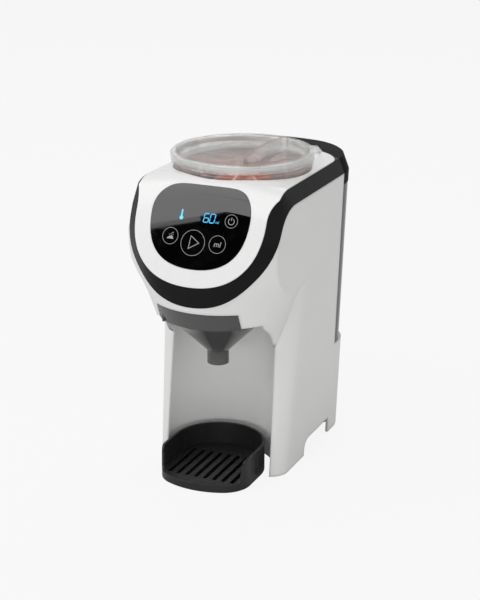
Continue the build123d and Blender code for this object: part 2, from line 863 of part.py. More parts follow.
with BuildPart() as powder_wheel:
    add(ring(0, hopper_y, wheel_r, 5.5, wheel_low_z, meter_top_z))
    add(post(0, hopper_y, wheel_hub_r, wheel_low_z, wheel_top_z))
    with BuildSketch(Plane.XY.offset(wheel_low_z)):
        with Locations((0, hopper_y)):
            with PolarLocations(port_offset, pockets):
                SlotOverall(17, 13, rotation=0)
    extrude(amount=meter_thick, mode=Mode.SUBTRACT)
    # Stirring blades: tall at the hub, low at the rim, above the scraper.
    blade_profile = [
        (wheel_hub_r - 1, blade_low_z),
        (wheel_r - 4, blade_low_z),
        (wheel_r - 1, blade_low_z + 2),
        (wheel_r - 1, wheel_rim_z),
        (wheel_hub_r + 9, wheel_top_z - 6),
        (wheel_hub_r - 1, wheel_top_z - 1),
    ]
    for number in range(blades):
        turn = 360 * (number + 0.5) / blades
        upright = Plane(
            origin=(0, hopper_y, 0),
            x_dir=(cos(radians(turn)), sin(radians(turn)), 0),
            z_dir=(sin(radians(turn)), -cos(radians(turn)), 0),
        )
        with BuildSketch(upright):
            Polygon(*blade_profile, align=None)
        extrude(amount=blade / 2, both=True)
    add(ring(0, hopper_y, wheel_r - 1, wheel_r - 3, blade_low_z + 3, blade_low_z + 5.5))
    add(post(0, hopper_y, wheel_hub_r - 3, wheel_top_z - 1.5, wheel_top_z), mode=Mode.SUBTRACT)
    with BuildSketch(Plane.XY.offset(wheel_low_z)):
        with Locations((0, hopper_y)):
            RegularPolygon(hex_r + 0.1, 6)
    extrude(amount=21, mode=Mode.SUBTRACT)
powder_wheel.part.label = "powder_wheel"
export_step(powder_wheel.part, "parts/powder_wheel.step")

with BuildPart() as powder_scraper:
    add(ring(0, hopper_y, hopper_r - hopper_wall - 0.05, wheel_hub_r + 1, scraper_z, scraper_z + scraper_thick))
    with BuildSketch(Plane.XY.offset(scraper_z)):
        with Locations((0, hopper_y)):
            Polygon((0, 0), (-42, -80), (42, -80), align=None)
    extrude(amount=scraper_thick, mode=Mode.INTERSECT)
powder_scraper.part.label = "powder_scraper"
export_step(powder_scraper.part, "parts/powder_scraper.step")

with BuildPart() as lid_shape:
    with BuildSketch(Plane.XZ) as profile:
        with BuildLine():
            Polyline(
                (0, lid_plate_z - lid_plate),
                (0, lid_plate_z),
                (lid_recess_r, lid_plate_z),
                (lid_ring_r - 0.6, lid_top_z - 1),
                (lid_ring_r + 0.4, lid_top_z),
                (lid_r - 1.4, lid_top_z),
                (lid_r, lid_top_z - 1.4),
                (lid_r, lid_skirt_z),
                (lid_r - lid_wall, lid_skirt_z),
                (lid_r - lid_wall, lid_top_z - lid_wall),
                (lid_ring_r + 1.9, lid_top_z - lid_wall),
                (lid_recess_r + 2.2, lid_plate_z - lid_plate),
                close=True,
            )
        make_face()
    revolve(axis=Axis.Z)
    # Hollow grip bar right of the middle, bowed to the left and open underneath.
    grip_left = [(23.0, -50.0), (16.0, -13.0), (14.6, 17.0), (17.2, 40.0), (19.0, 50.5)]
    grip_right = [(26.5, 50.5), (27.0, 20.0), (30.2, -5.0), (36.5, -45.0)]
    under_left = [(25.2, -43.0), (18.1, -12.0), (16.8, 17.0), (19.2, 40.0)]
    under_right = [(24.4, 40.0), (24.9, 19.0), (28.0, -6.0), (33.4, -40.0)]
    bars = []
    for low, left, right in ((0.0, grip_left, grip_right), (lid_wall, under_left, under_right)):
        with BuildPart(mode=Mode.PRIVATE) as bar:
            with BuildSketch(Plane.XY.offset(lid_plate_z - lid_plate - low)):
                with BuildLine():
                    Spline(*left)
                    Line(left[-1], right[0])
                    Spline(*right)
                    Line(right[-1], left[0])
                make_face()
            extrude(amount=grip_top_z - lid_plate_z + lid_plate)
        bars.append(bar.part)
    add(bars[0])
    add(bars[1], mode=Mode.SUBTRACT)
    # Turning lug behind on the right, and small ribs round the skirt to grip.
    with BuildPart(mode=Mode.PRIVATE) as lug:
        with BuildSketch(Plane.XY.offset(lid_skirt_z)) as outline:
            with Locations(Rotation(0, 0, 33)):
                with Locations((lid_r + 1, 0)):
                    Rectangle(10, 24)
            fillet(outline.vertices().group_by(Axis.X)[-1], 2)
        extrude(amount=6.5)
        add(post(0, 0, lid_r - 0.5, lid_skirt_z - 1, lid_top_z), mode=Mode.SUBTRACT)
    add(lug.part)
    for angle in (-97, -75, -36, 60, 110, 160, 200):
        with BuildPart(mode=Mode.PRIVATE) as rib:
            with BuildSketch(Plane.XY.offset(lid_skirt_z)):
                with Locations(Rotation(0, 0, angle)):
                    with Locations((lid_r + 0.2, 0)):
                        Rectangle(1.6, 1.8)
            extrude(amount=lid_top_z - lid_skirt_z - 2)
        add(rib.part)
with BuildPart() as hopper_lid:
    with Locations((0, hopper_y, 0)):
        add(lid_shape.part)
hopper_lid.part.label = "hopper_lid"
export_step(hopper_lid.part, "parts/hopper_lid.step")

with BuildPart() as lid_seal:
    add(ring(0, hopper_y, hopper_r + 0.2, hopper_r - 1.7, seal_z, seal_z + 2.6))
    add(ring(0, hopper_y, hopper_r - 0.2, hopper_r - 1.3, seal_z + 2.0, seal_z + 4.2))
lid_seal.part.label = "lid_seal"
export_step(lid_seal.part, "parts/lid_seal.step")

well_floor_z = chassis_z + chassis_thick
with BuildPart() as hopper_well:
    add(ring(0, hopper_y, hopper_r + 2.3, hopper_r + 0.5, well_floor_z, deck_z - 8.1))
    add(ring(0, hopper_y, hopper_r + 1, bush_r + 0.1, well_floor_z, hopper_floor_z - clear))
    add(post(0, port_y, port_r + 0.5, 0, far), mode=Mode.SUBTRACT)
hopper_well.part.label = "hopper_well"
export_step(hopper_well.part, "parts/hopper_well.step")

# ---------------------------------------------------------------- drive
with BuildPart() as chassis:
    with BuildSketch(Plane.XY.offset(chassis_z)):
        with Locations((0, at(60.5))):
            RectangleRounded(144, 131, 26)
        with Locations((0, hopper_y)):
            Circle(bush_r + 0.02, mode=Mode.SUBTRACT)
        with Locations((0, port_y)):
            Circle(chute_r + 0.1, mode=Mode.SUBTRACT)
        for sign in (-1, 1):
            for x, behind in chassis_screws:
                with Locations((sign * x, at(behind))):
                    Circle(screw_r + 0.2, mode=Mode.SUBTRACT)
    extrude(amount=chassis_thick)
    add(block((-22, 22), (at(113.5), at(118)), (motor_plate_z, chassis_z + 1)))
    add(block((-22, 22), (at(72), at(118)), (motor_plate_z, motor_plate_z + motor_plate)))
    add(post(0, pinion_y, 4.0, 0, motor_plate_z + 5), mode=Mode.SUBTRACT)
    for x in (-12, 12):
        add(post(x, pinion_y, small_screw_r + 0.2, 0, motor_plate_z + 5), mode=Mode.SUBTRACT)
    # Stiffening webs under the plate, clear of the gears.
    for x in (-35, 33):
        add(block((x, x + 2), (at(20), at(104)), (chassis_z - 8, chassis_z + 1)))
chassis.part.label = "chassis"
export_step(chassis.part, "parts/chassis.step")

with BuildPart() as shaft_bush:
    add(ring(0, hopper_y, bush_r, shaft_r + running, gear_z + gear_thick + 0.5, well_floor_z + 2.5))
    add(ring(0, hopper_y, bush_r + 3, shaft_r + running, chassis_z - 2.5, chassis_z))
shaft_bush.part.label = "shaft_bush"
export_step(shaft_bush.part, "parts/shaft_bush.step")

with BuildPart() as drive_shaft:
    add(post(0, hopper_y, shaft_r, motor_plate_z + motor_plate + 1, wheel_low_z - 0.5))
    add(post(0, hopper_y, shaft_r + 2, motor_plate_z + motor_plate + 0.5, gear_z))
    with BuildSketch(Plane.XY.offset(wheel_low_z - 0.5)):
        with Locations((0, hopper_y)):
            RegularPolygon(hex_r - 0.35, 6)
    extrude(amount=hex_top_z - wheel_low_z)
    chamfer(drive_shaft.edges().group_by(Axis.Z)[-1], 0.6)
drive_shaft.part.label = "drive_shaft"
export_step(drive_shaft.part, "parts/drive_shaft.step")

with BuildPart() as drive_gear:
    add(gear(hopper_y, gear_teeth, gear_z, gear_thick, shaft_r + 0.02, 0))
    with BuildSketch(Plane.XY.offset(gear_z)):
        with Locations((0, hopper_y)):
            with PolarLocations(18, 6):
                Circle(5)
    extrude(amount=gear_thick, mode=Mode.SUBTRACT)
drive_gear.part.label = "drive_gear"
export_step(drive_gear.part, "parts/drive_gear.step")

motor_low_z = motor_plate_z - motor_h
with BuildPart() as pinion:
    add(gear(pinion_y, pinion_teeth, gear_z - 1, pinion_thick, 0.01, 0.5))
    add(post(0, pinion_y, motor_shaft_r, motor_plate_z - 6, gear_z + pinion_thick + 1))
pinion.part.label = "pinion"
export_step(pinion.part, "parts/pinion.step")

with BuildPart() as gear_motor:
    add(post(0, pinion_y, motor_r, motor_low_z + 22, motor_plate_z))
    add(post(0, pinion_y, motor_r - 2.5, motor_low_z, motor_low_z + 23))
    add(post(0, pinion_y, motor_shaft_r + running, motor_plate_z - 8, motor_plate_z + 1), mode=Mode.SUBTRACT)
    for x in (-12, 12):
        add(post(x, pinion_y, small_screw_r + 0.05, motor_plate_z - 7, motor_plate_z + 1), mode=Mode.SUBTRACT)
    for x in (-6, 6):
        add(block((x - 1.4, x + 1.4), (pinion_y - 0.4, pinion_y + 0.4), (motor_low_z - 6, motor_low_z + 1)))
    add(ring(0, pinion_y, motor_r + 0.6, motor_r - 1, motor_low_z + 30, motor_low_z + 31.5))
gear_motor.part.label = "gear_motor"
export_step(gear_motor.part, "parts/gear_motor.step")

with BuildPart() as motor_screws:
    for x in (-12, 12):
        seat = motor_plate_z + motor_plate
        add(screw(x, pinion_y, seat, 1, small_screw_r, 1.9, 8.0))
motor_screws.part.label = "motor_screws"
export_step(motor_screws.part, "parts/motor_screws.step")

# ---------------------------------------------------------------- funnel
guide_half = slot_half + 0.4
with BuildPart() as funnel:
    # Curved front plate, flush with the head.
    add(bowl(0.3))
    add(bowl(0.3 + funnel_wall), mode=Mode.SUBTRACT)
    plate_box = block((-funnel_half, funnel_half), (-far, at(0)), (funnel_floor_z, funnel_plate_z))
    add(plate_box, mode=Mode.INTERSECT)
    # Pan behind it, with a lip along each side.
    with BuildPart(mode=Mode.PRIVATE) as pan:
        add(block((-funnel_half, funnel_half), (-far, at(40)), (funnel_floor_z, funnel_floor_z + 2)))
        add(bowl(0.3 + funnel_wall / 2), mode=Mode.INTERSECT)
        half = funnel_pan_half
        for sign in (-1, 1):
            side = sorted((sign * (half - funnel_wall), sign * half))
            add(block(side, (at(-44), at(40)), (funnel_floor_z, rail_z + 5)))
            lip = sorted((sign * (half - 1), sign * (funnel_half - 0.3)))
            add(block(lip, (at(-40), at(40)), (rail_z + 2.5, rail_z + 4.5)))
        add(block((-half, half), (at(38), at(40)), (funnel_floor_z, rail_z)))
    add(pan.part)
    with BuildPart(mode=Mode.PRIVATE) as cone:
        with BuildSketch(Plane.XZ) as profile:
            with BuildLine():
                Polyline(
                    (spout_r, spout_low_z),
                    (spout_r, cone_low_z),
                    (funnel_rim_r - 2.5, funnel_rim_z),
                    (funnel_rim_r, funnel_rim_z),
                    (funnel_rim_r, funnel_floor_z),
                    (0, funnel_floor_z),
                    (0, spout_low_z),
                    close=True,
                )
            make_face()
        revolve(axis=Axis.Z)
    with Locations((0, spout_y, 0)):
        add(cone.part)
    add(block((-far, far), (at(44), far), (0, funnel_floor_z)), mode=Mode.SUBTRACT)
    with BuildPart(mode=Mode.PRIVATE) as mouth:
        with BuildSketch(Plane.XZ) as profile:
            with BuildLine():
                Polyline(
                    (0, spout_low_z - 1),
                    (spout_r - funnel_wall, spout_low_z - 1),
                    (spout_r - funnel_wall, cone_low_z + 0.8),
                    (funnel_pan_half - funnel_wall - 0.5, cone_low_z + 0.8 + 24.5),
                    (funnel_pan_half - funnel_wall - 0.5, funnel_floor_z + 3),
                    (0, funnel_floor_z + 3),
                    close=True,
                )
            make_face()
        revolve(axis=Axis.Z)
    with Locations((0, spout_y, 0)):
        add(mouth.part, mode=Mode.SUBTRACT)
funnel.part.label = "funnel"
export_step(funnel.part, "parts/funnel.step")

with BuildPart() as funnel_guide:
    add(block((-guide_half - 2.5, guide_half + 2.5), (at(-33), at(51)), (guide_top_z, guide_top_z + 2)))
    for sign in (-1, 1):
        side = sorted((sign * guide_half, sign * (guide_half + 2.5)))
        add(block(side, (at(-30), at(51)), (bay_roof_z + wall + 0.1, guide_top_z + 1)))
        rail = sorted((sign * (funnel_pan_half + 0.5), sign * (guide_half + 1)))
        add(block(rail, (at(-30), at(46)), (rail_z, rail_z + 2.2)))
    add(block((-guide_half, guide_half), (at(49.2), at(51)), (bay_roof_z + wall + 0.1, guide_top_z + 1)))
    add(post(0, port_y, chute_bore, 0, far), mode=Mode.SUBTRACT)
    add(post(0, at(nozzle_setback), 5.1, 0, far), mode=Mode.SUBTRACT)
funnel_guide.part.label = "funnel_guide"
export_step(funnel_guide.part, "parts/funnel_guide.step")

with BuildPart() as funnel_switch:
    add(block((14, 34), (at(51), at(57)), (bay_roof_z + wall + 0.5, bay_roof_z + wall + 10)))
    for x in (17, 24, 31):
        add(block((x - 0.4, x + 0.4), (at(53.6), at(54.4)), (bay_roof_z + wall + 9, bay_roof_z + wall + 14)))
funnel_switch.part.label = "funnel_switch"
export_step(funnel_switch.part, "parts/funnel_switch.step")

with BuildPart() as powder_chute:
    add(ring(0, port_y, chute_r, chute_bore, guide_top_z + 2.1, well_floor_z - 0.1))
    add(ring(0, port_y, chute_r + 1.3, chute_bore, guide_top_z + 2.1, guide_top_z + 4))
powder_chute.part.label = "powder_chute"
export_step(powder_chute.part, "parts/powder_chute.step")

nozzle_y = at(nozzle_setback)
with BuildPart() as water_nozzle:
    add(post(0, nozzle_y, 5.0, guide_top_z - 2, guide_top_z + 4))
    add(post(0, nozzle_y, 6.2, guide_top_z + 2.1, guide_top_z + 4))
    add(post(0, nozzle_y, 3.5, nozzle_tip_z, guide_top_z))
    add(post(0, nozzle_y, barb_r, guide_top_z + 3, guide_top_z + 14))
    add(post(0, nozzle_y, 1.2, 0, far), mode=Mode.SUBTRACT)
water_nozzle.part.label = "water_nozzle"
export_step(water_nozzle.part, "parts/water_nozzle.step")

# ---------------------------------------------------------------- water tank and plumbing
valve_y = at(valve_setback)
with BuildPart() as water_tank:
    add(tank_form(0, tank_floor_z, tank_skirt_z - clear))
    add(tank_form(3, tank_skirt_z - 6, tank_neck_z))
    add(tank_form(tank_wall, tank_floor_z + 2.5, tank_skirt_z - clear - 2.5), mode=Mode.SUBTRACT)
    add(tank_form(3 + tank_wall, tank_skirt_z - 6, far), mode=Mode.SUBTRACT)
    # Valve seat and the cage that holds the valve's spring.
    cage_top = tank_floor_z + 23
    add(ring(0, valve_y, valve_r + 2.6, valve_r + 1, tank_floor_z + 1, cage_top))
    add(ring(0, valve_y, valve_r + 2.6, 2.2, cage_top - 2, cage_top))
    for turn in range(3):
        with Locations((0, valve_y, 0)):
            with Locations(Rotation(0, 0, 120 * turn)):
                add(block((-3.5, 3.5), (0, 14), (tank_floor_z + 4, cage_top - 4)), mode=Mode.SUBTRACT)
    add(post(0, valve_y, valve_bore, 0, tank_floor_z + 5), mode=Mode.SUBTRACT)
water_tank.part.label = "water_tank"
export_step(water_tank.part, "parts/water_tank.step")

with BuildPart() as tank_lid:
    add(tank_lid_form(0, tank_skirt_z))
    with BuildPart(mode=Mode.PRIVATE) as under_lid:
        add(tank_lid_form(2.2, tank_skirt_z - 1))
    add(under_lid.part, mode=Mode.SUBTRACT)
tank_lid.part.label = "tank_lid"
export_step(tank_lid.part, "parts/tank_lid.step")

valve_seat_z = tank_floor_z + 2.5
with BuildPart() as tank_valve:
    add(post(0, valve_y, valve_r, valve_seat_z + 0.1, valve_seat_z + 3))
    add(post(0, valve_y, valve_bore - 1.2, tank_floor_z - 1, valve_seat_z + 1))
    add(post(0, valve_y, 1.8, valve_seat_z + 2, tank_floor_z + 23.5))
tank_valve.part.label = "tank_valve"
export_step(tank_valve.part, "parts/tank_valve.step")

spring_low, spring_high = valve_seat_z + 3.6, tank_floor_z + 20.4
with BuildPart() as valve_spring:
    with BuildLine() as coil:
        Helix(pitch=3.1, height=spring_high - spring_low, radius=4.2, center=(0, valve_y, spring_low))
    with BuildSketch(Plane(origin=coil.line @ 0, z_dir=coil.line % 0)):
        Circle(0.5)
    sweep(path=coil.line, is_frenet=True)
valve_spring.part.label = "valve_spring"
export_step(valve_spring.part, "parts/valve_spring.step")

with BuildPart() as tank_seat:
    add(post(0, valve_y, seat_r, seat_low_z, shelf_z - 0.4))
    add(post(0, valve_y, seat_r + 3.5, shelf_z - wall - 2, shelf_z - wall))
    add(post(0, valve_y, seat_r - 3, seat_low_z + 2.5, shelf_z + 1), mode=Mode.SUBTRACT)
    add(post(0, valve_y, barb_r, seat_low_z - 9, seat_low_z + 1))
    add(post(0, valve_y, 1.1, 0, shelf_z), mode=Mode.SUBTRACT)
tank_seat.part.label = "tank_seat"
export_step(tank_seat.part, "parts/tank_seat.step")

with BuildPart() as seat_seal:
    seal_low = shelf_z - 5.2
    add(ring(0, valve_y, seat_r - 3, seat_r - 6.2, seal_low, seal_low + 2.4))
    add(ring(0, valve_y, seat_r - 3, seat_r - 4.4, seal_low - 7, seal_low))
seat_seal.part.label = "seat_seal"
export_step(seat_seal.part, "parts/seat_seal.step")

pump_y = valve_y
with BuildPart() as water_pump:
    add(across(pump_x[0], pump_y, pump_z, pump_r, 22))
    add(across(pump_x[0] + 20, pump_y, pump_z, pump_r - 1.5, pump_x[1] - pump_x[0] - 22))
    add(across(pump_x[1] - 5, pump_y, pump_z, 7, 5))
    add(post(0, pump_y, 3.2, pump_z + 10, pump_z + pump_r + 1.5))
    add(post(0, pump_y, barb_r, pump_z + 10, pump_z + pump_r + 7.5))
    add(across(pump_x[0] - 10, pump_y, pump_z - 5, barb_r, 14))
    add(across(pump_x[0] - 1.5, pump_y, pump_z - 5, 3.2, 5))
water_pump.part.label = "water_pump"
export_step(water_pump.part, "parts/water_pump.step")

with BuildPart() as pump_mounts:
    for x in (2, 34):
        top = pump_z - 8
        add(block((x, x + 8), (pump_y - 15, pump_y + 15), (plate_z + plate_thick, top)))
    add(across(pump_x[0], pump_y, pump_z, pump_r, 20), mode=Mode.SUBTRACT)
    add(across(pump_x[0] + 20, pump_y, pump_z, pump_r - 1.5, 50), mode=Mode.SUBTRACT)
pump_mounts.part.label = "pump_mounts"
export_step(pump_mounts.part, "parts/pump_mounts.step")

heater_x, heater_y = heater_at[0], at(heater_at[1])
with BuildPart() as water_heater:
    add(post(heater_x, heater_y, heater_r, *heater_z))
    chamfer(water_heater.edges().filter_by(GeomType.CIRCLE), 3)
    add(post(heater_x, heater_y, barb_r, heater_z[0] - 11, heater_z[0] + 5))
    add(post(heater_x, heater_y, barb_r, heater_z[1] - 5, heater_z[1] + 11))
    for x in (-9, 9):
        tab = (heater_x + x - 1.5, heater_x + x + 1.5)
        add(block(tab, (heater_y - 0.4, heater_y + 0.4), (heater_z[1] - 1, heater_z[1] + 6)))
water_heater.part.label = "water_heater"
export_step(water_heater.part, "parts/water_heater.step")

bracket_y = (at(115.5), at(118))
with BuildPart() as heater_bracket:
    add(block((-62, -22), bracket_y, (heater_z[0] - 5, heater_z[1] - 5)))
    add(block((-62, -50), bracket_y, (plate_z + plate_thick, heater_z[0])))
    add(block((-62, -50), (at(98), at(118)), (plate_z + plate_thick, plate_z + plate_thick + 2.5)))
    shelf = (heater_z[0] - 2.5, heater_z[0])
    add(block((-60, -24), (at(77), at(117)), shelf))
    add(post(heater_x, heater_y, 4.2, 0, heater_z[0] + 1), mode=Mode.SUBTRACT)
    for z in (heater_z[0] + 16, heater_z[1] - 24):
        add(ring(heater_x, heater_y, heater_r + 2.2, heater_r + 0.05, z, z + 8))
heater_bracket.part.label = "heater_bracket"
export_step(heater_bracket.part, "parts/heater_bracket.step")

with BuildPart() as thermostat:
    add(across(heater_x + heater_r - 3, heater_y, 150, 6, 8))
    add(across(heater_x + heater_r + 4, heater_y, 150, 4.5, 2.5))
    for y in (-2.5, 2.5):
        leg = (heater_y + y - 0.5, heater_y + y + 0.5)
        add(block((heater_x + heater_r + 3, heater_x + heater_r + 4), leg, (146, 160)))
    add(post(heater_x, heater_y, heater_r + 0.05, 0, far), mode=Mode.SUBTRACT)
thermostat.part.label = "thermostat"
export_step(thermostat.part, "parts/thermostat.step")

with BuildPart() as tank_hose:
    add(ring(0, valve_y, hose_r, hose_bore, pump_z + pump_r + 1.6, seat_low_z - 0.1))
tank_hose.part.label = "tank_hose"
export_step(tank_hose.part, "parts/tank_hose.step")

with BuildPart() as pump_hose:
    run = [
        (pump_x[0] - 1.6, pump_y, pump_z - 5),
        (-34, pump_y, pump_z - 5),
        (-34, at(124), pump_z),
        (heater_x, heater_y, pump_z + 10),
        (heater_x, heater_y, heater_z[0] - 0.1),
    ]
    add(hose(run, 9))
pump_hose.part.label = "pump_hose"
export_step(pump_hose.part, "parts/pump_hose.step")

with BuildPart() as nozzle_hose:
    run = [
        (heater_x, heater_y, heater_z[1] + 0.1),
        (heater_x, heater_y, 218),
        (-48, at(52), 218),
        (-28, nozzle_y, 209.5),
        (0, nozzle_y, 209.5),
        (0, nozzle_y, guide_top_z + 4.1),
    ]
    add(hose(run, 9))
nozzle_hose.part.label = "nozzle_hose"
export_step(nozzle_hose.part, "parts/nozzle_hose.step")

# ---------------------------------------------------------------- base
with BuildPart() as base_plate:
    add(body_solid(wall + clear))
    plate_slab = block((-far, far), (at(57.5), far), (plate_z, plate_z + plate_thick))
    add(plate_slab, mode=Mode.INTERSECT)
    for sign in (-1, 1):
        x, behind, radius = rear_foot
        add(post(sign * x, at(behind), radius + 1.5, foot_h, plate_z + 1))
        for x, behind in base_bosses:
            add(post(sign * x, at(behind), screw_r + 0.2, 0, far), mode=Mode.SUBTRACT)
    for x in (board_x[0] + 4, board_x[1] - 4):
        for behind in (board_y[0] + 4, board_y[1] - 4):
            add(post(x, at(behind), 3.0, plate_z + plate_thick, board_z))
            add(post(x, at(behind), small_screw_r + 0.05, plate_z + 1, board_z), mode=Mode.SUBTRACT)
    with BuildSketch(Plane.XY.offset(plate_z - 1)):
        with Locations((0, at(96))):
            with GridLocations(7, 30, 9, 1):
                SlotOverall(26, 3, rotation=90)
    extrude(amount=plate_thick + 2, mode=Mode.SUBTRACT)
base_plate.part.label = "base_plate"
export_step(base_plate.part, "parts/base_plate.step")

with BuildPart() as rubber_feet:
    for sign in (-1, 1):
        for x, behind, radius in (front_foot, rear_foot):
            add(post(sign * x, at(behind), radius, 0, foot_h))
    chamfer(rubber_feet.edges().group_by(Axis.Z)[0], 0.5)
rubber_feet.part.label = "rubber_feet"
export_step(rubber_feet.part, "parts/rubber_feet.step")

with BuildPart() as housing_screws:
    for sign in (-1, 1):
        for x, behind in base_bosses:
            add(screw(sign * x, at(behind), plate_z, -1, screw_r, screw_head_r, screw_length))
        for x, behind in chassis_screws:
            seat = chassis_z + chassis_thick
            add(screw(sign * x, at(behind), seat, 1, screw_r, screw_head_r, screw_length))
housing_screws.part.label = "housing_screws"
export_step(housing_screws.part, "parts/housing_screws.step")

with BuildPart() as main_board:
    board = block(board_x, (at(board_y[0]), at(board_y[1])), (board_z, board_z + board_thick))
    add(board)
    top = board_z + board_thick
    add(block((12, 28), (at(78), at(92)), (top - 0.1, top + 14)))  # relay
    add(block((32, 54), (at(80), at(96)), (top - 0.1, top + 18)))  # transformer
    for x in (14, 25):
        add(post(x, at(104), 4.5, top - 0.1, top + 16))
    add(block((34, 46), (at(104), at(112)), (top - 0.1, top + 2)))
    for x in (20, 34, 46):
        add(block((x - 5, x + 5), (at(117), at(122)), (top - 0.1, top + 7)))
    for x in (board_x[0] + 4, board_x[1] - 4):
        for behind in (board_y[0] + 4, board_y[1] - 4):
            add(post(x, at(behind), small_screw_r + 0.2, 0, far), mode=Mode.SUBTRACT)
main_board.part.label = "main_board"
export_step(main_board.part, "parts/main_board.step")

with BuildPart() as board_screws:
    for x in (board_x[0] + 4, board_x[1] - 4):
        for behind in (board_y[0] + 4, board_y[1] - 4):
            add(screw(x, at(behind), board_z + board_thick, 1, small_screw_r, 2.4, 6.0))
    tilted = face_plane.offset(-board_depth - display_board_size[2])
    for x, v in board_spots:
        with BuildSketch(Plane(origin=tilted.from_local_coords((x, v, 0)), z_dir=tilted.z_dir)):
            Circle(2.4)
        extrude(amount=-1.56)
        with BuildSketch(Plane(origin=tilted.from_local_coords((x, v, 0)), z_dir=tilted.z_dir)):
            Circle(small_screw_r)
        extrude(amount=3.9)
board_screws.part.label = "board_screws"
export_step(board_screws.part, "parts/board_screws.step")

with BuildPart() as power_inlet:
    mid_x, mid_z = sum(inlet_x) / 2, sum(inlet_z) / 2
    inlet_rear = rear_at(inlet_z[0])
    add(block(inlet_x, (at(160), inlet_rear + 1), inlet_z))
    flange = ((inlet_x[0] - 3, inlet_x[1] + 3), (inlet_rear + 0.15, inlet_rear + 1.4))
    add(block(*flange, (inlet_z[0] - 3, inlet_z[1] + 3)))
    with BuildSketch(Plane.XZ.offset(-inlet_rear - 2)):
        with Locations((mid_x, mid_z)):
            SlotOverall(14, 9)
    extrude(amount=16, mode=Mode.SUBTRACT)
    for x in (-3, 3):
        with BuildSketch(Plane.XZ.offset(-inlet_rear + 2)):
            with Locations((mid_x + x, mid_z)):
                Circle(1.2)
        extrude(amount=13)
power_inlet.part.label = "power_inlet"
export_step(power_inlet.part, "parts/power_inlet.step")

with BuildPart() as drip_tray:
    add(tray_outline(0, 0, tray_h))
    add(tray_outline(tray_floor, tray_wall, tray_h), mode=Mode.SUBTRACT)
    # The rim sweeps down to a low lip in front.
    with BuildSketch(Plane.YZ.offset(-far / 2)):
        with BuildLine():
            Spline(
                (at(-45), tray_lip),
                (at(-37.5), (tray_h + tray_lip) / 2),
                (at(-30), tray_h),
                tangents=[(1, 0), (1, 0)],
            )
            Polyline((at(-30), tray_h), (at(-30), far), (-far, far), (-far, tray_lip), (at(-45), tray_lip))
        make_face()
    extrude(amount=far, mode=Mode.SUBTRACT)
    for sign in (-1, 1):
        rib = sorted((sign * (tray_half - 0.5), sign * (tray_half + 1.0)))
        add(block(rib, (at(-11.5), at(-8.5)), (5, 23)))
    for x, behind in ((-28, -20), (28, -20), (0, 28), (0, -46), (0, -5)):
        add(post(x, at(behind), 3.0, tray_floor - 0.5, grille_z - clear))
drip_tray.part.label = "drip_tray"
export_step(drip_tray.part, "parts/drip_tray.step")

with BuildPart() as drip_grille:
    add(tray_outline(grille_z, tray_wall + clear + 0.2, grille_thick))
    with BuildSketch(Plane.XY.offset(grille_z)) as slots:
        with Locations((0, at(-12))):
            with GridLocations(9.5, 1, grille_slots, 1):
                SlotOverall(62, 4.4, rotation=90)
    extrude(amount=grille_thick, mode=Mode.SUBTRACT)
drip_grille.part.label = "drip_grille"
export_step(drip_grille.part, "parts/drip_grille.step")
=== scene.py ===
# %% [markdown]
# # Dressing a counter-top baby formula maker
# The machine's solids come from a CAD part, packed in metres with +Z up and the front facing -Y. This
# script loads them as a fixed frame, gives each one a worked-out finish, adds the thin printed marks and
# lit symbols that CAD leaves out, and then sets up a plain studio. Every finish is procedural, so no
# picture is read from disk.

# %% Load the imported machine
from math import asin, cos, degrees, pi, radians, sin

import bpy
import bmesh
from mathutils import Matrix, Vector


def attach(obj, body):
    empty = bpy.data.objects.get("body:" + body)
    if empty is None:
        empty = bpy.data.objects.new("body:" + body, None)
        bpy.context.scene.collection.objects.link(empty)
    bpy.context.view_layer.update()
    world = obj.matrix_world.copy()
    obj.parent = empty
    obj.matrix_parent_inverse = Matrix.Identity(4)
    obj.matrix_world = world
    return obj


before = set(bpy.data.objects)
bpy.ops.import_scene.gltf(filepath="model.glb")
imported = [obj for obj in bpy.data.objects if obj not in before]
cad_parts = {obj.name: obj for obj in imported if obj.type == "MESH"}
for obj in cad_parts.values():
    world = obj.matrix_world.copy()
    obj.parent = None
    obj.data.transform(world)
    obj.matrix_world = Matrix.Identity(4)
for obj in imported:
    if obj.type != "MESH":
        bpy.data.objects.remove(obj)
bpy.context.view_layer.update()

mm = 0.001

# %% [markdown]
# ## Shading of the CAD meshes
# A solid arrives as many small triangles. A moulded surface should look continuous across them and still
# break at real corners. A modifier that splits the mesh at its corners would do that too, but it adds
# vertices. Here each mesh is shaded smooth and its edges steeper than a chosen angle are marked sharp,
# which changes no shape.

# %% Smooth curved walls, crisp corners
corner_angle = radians(24)

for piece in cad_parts.values():
    piece.data.shade_smooth()
    piece.data.set_sharp_from_angle(angle=corner_angle)
print("edges steeper than", round(degrees(corner_angle)), "degrees stay crisp")

# %% [markdown]
# ## Small tools for shader trees
# Materials are trees of nodes. A few short functions keep the rest readable: one wires or fills the
# sockets of a node, one adds a node, one starts a node group with named inputs and outputs, and one
# places such a group in a material. The others are steps that nearly every material takes.

# %% Node helpers
def connect(tree, node, **sockets):
    """Wire or fill sockets, named as in Blender with _ for a space, or i0, i1 ... where names repeat."""
    for name, value in sockets.items():
        by_number = name[0] == "i" and name[1:].isdigit()
        socket = node.inputs[int(name[1:]) if by_number else name.replace("_", " ")]
        if isinstance(value, bpy.types.NodeSocket):
            tree.links.new(value, socket)
        else:
            socket.default_value = value
    return node


def add(tree, kind, settings=None, **sockets):
    """A new shader node with its settings and sockets."""
    made = tree.nodes.new("ShaderNode" + kind)
    for name, value in (settings or {}).items():
        setattr(made, name, value)
    return connect(tree, made, **sockets)


def math_node(tree, operation, first, second=0.0, clamp=False):
    return add(tree, "Math", {"operation": operation, "use_clamp": clamp}, i0=first, i1=second).outputs[0]


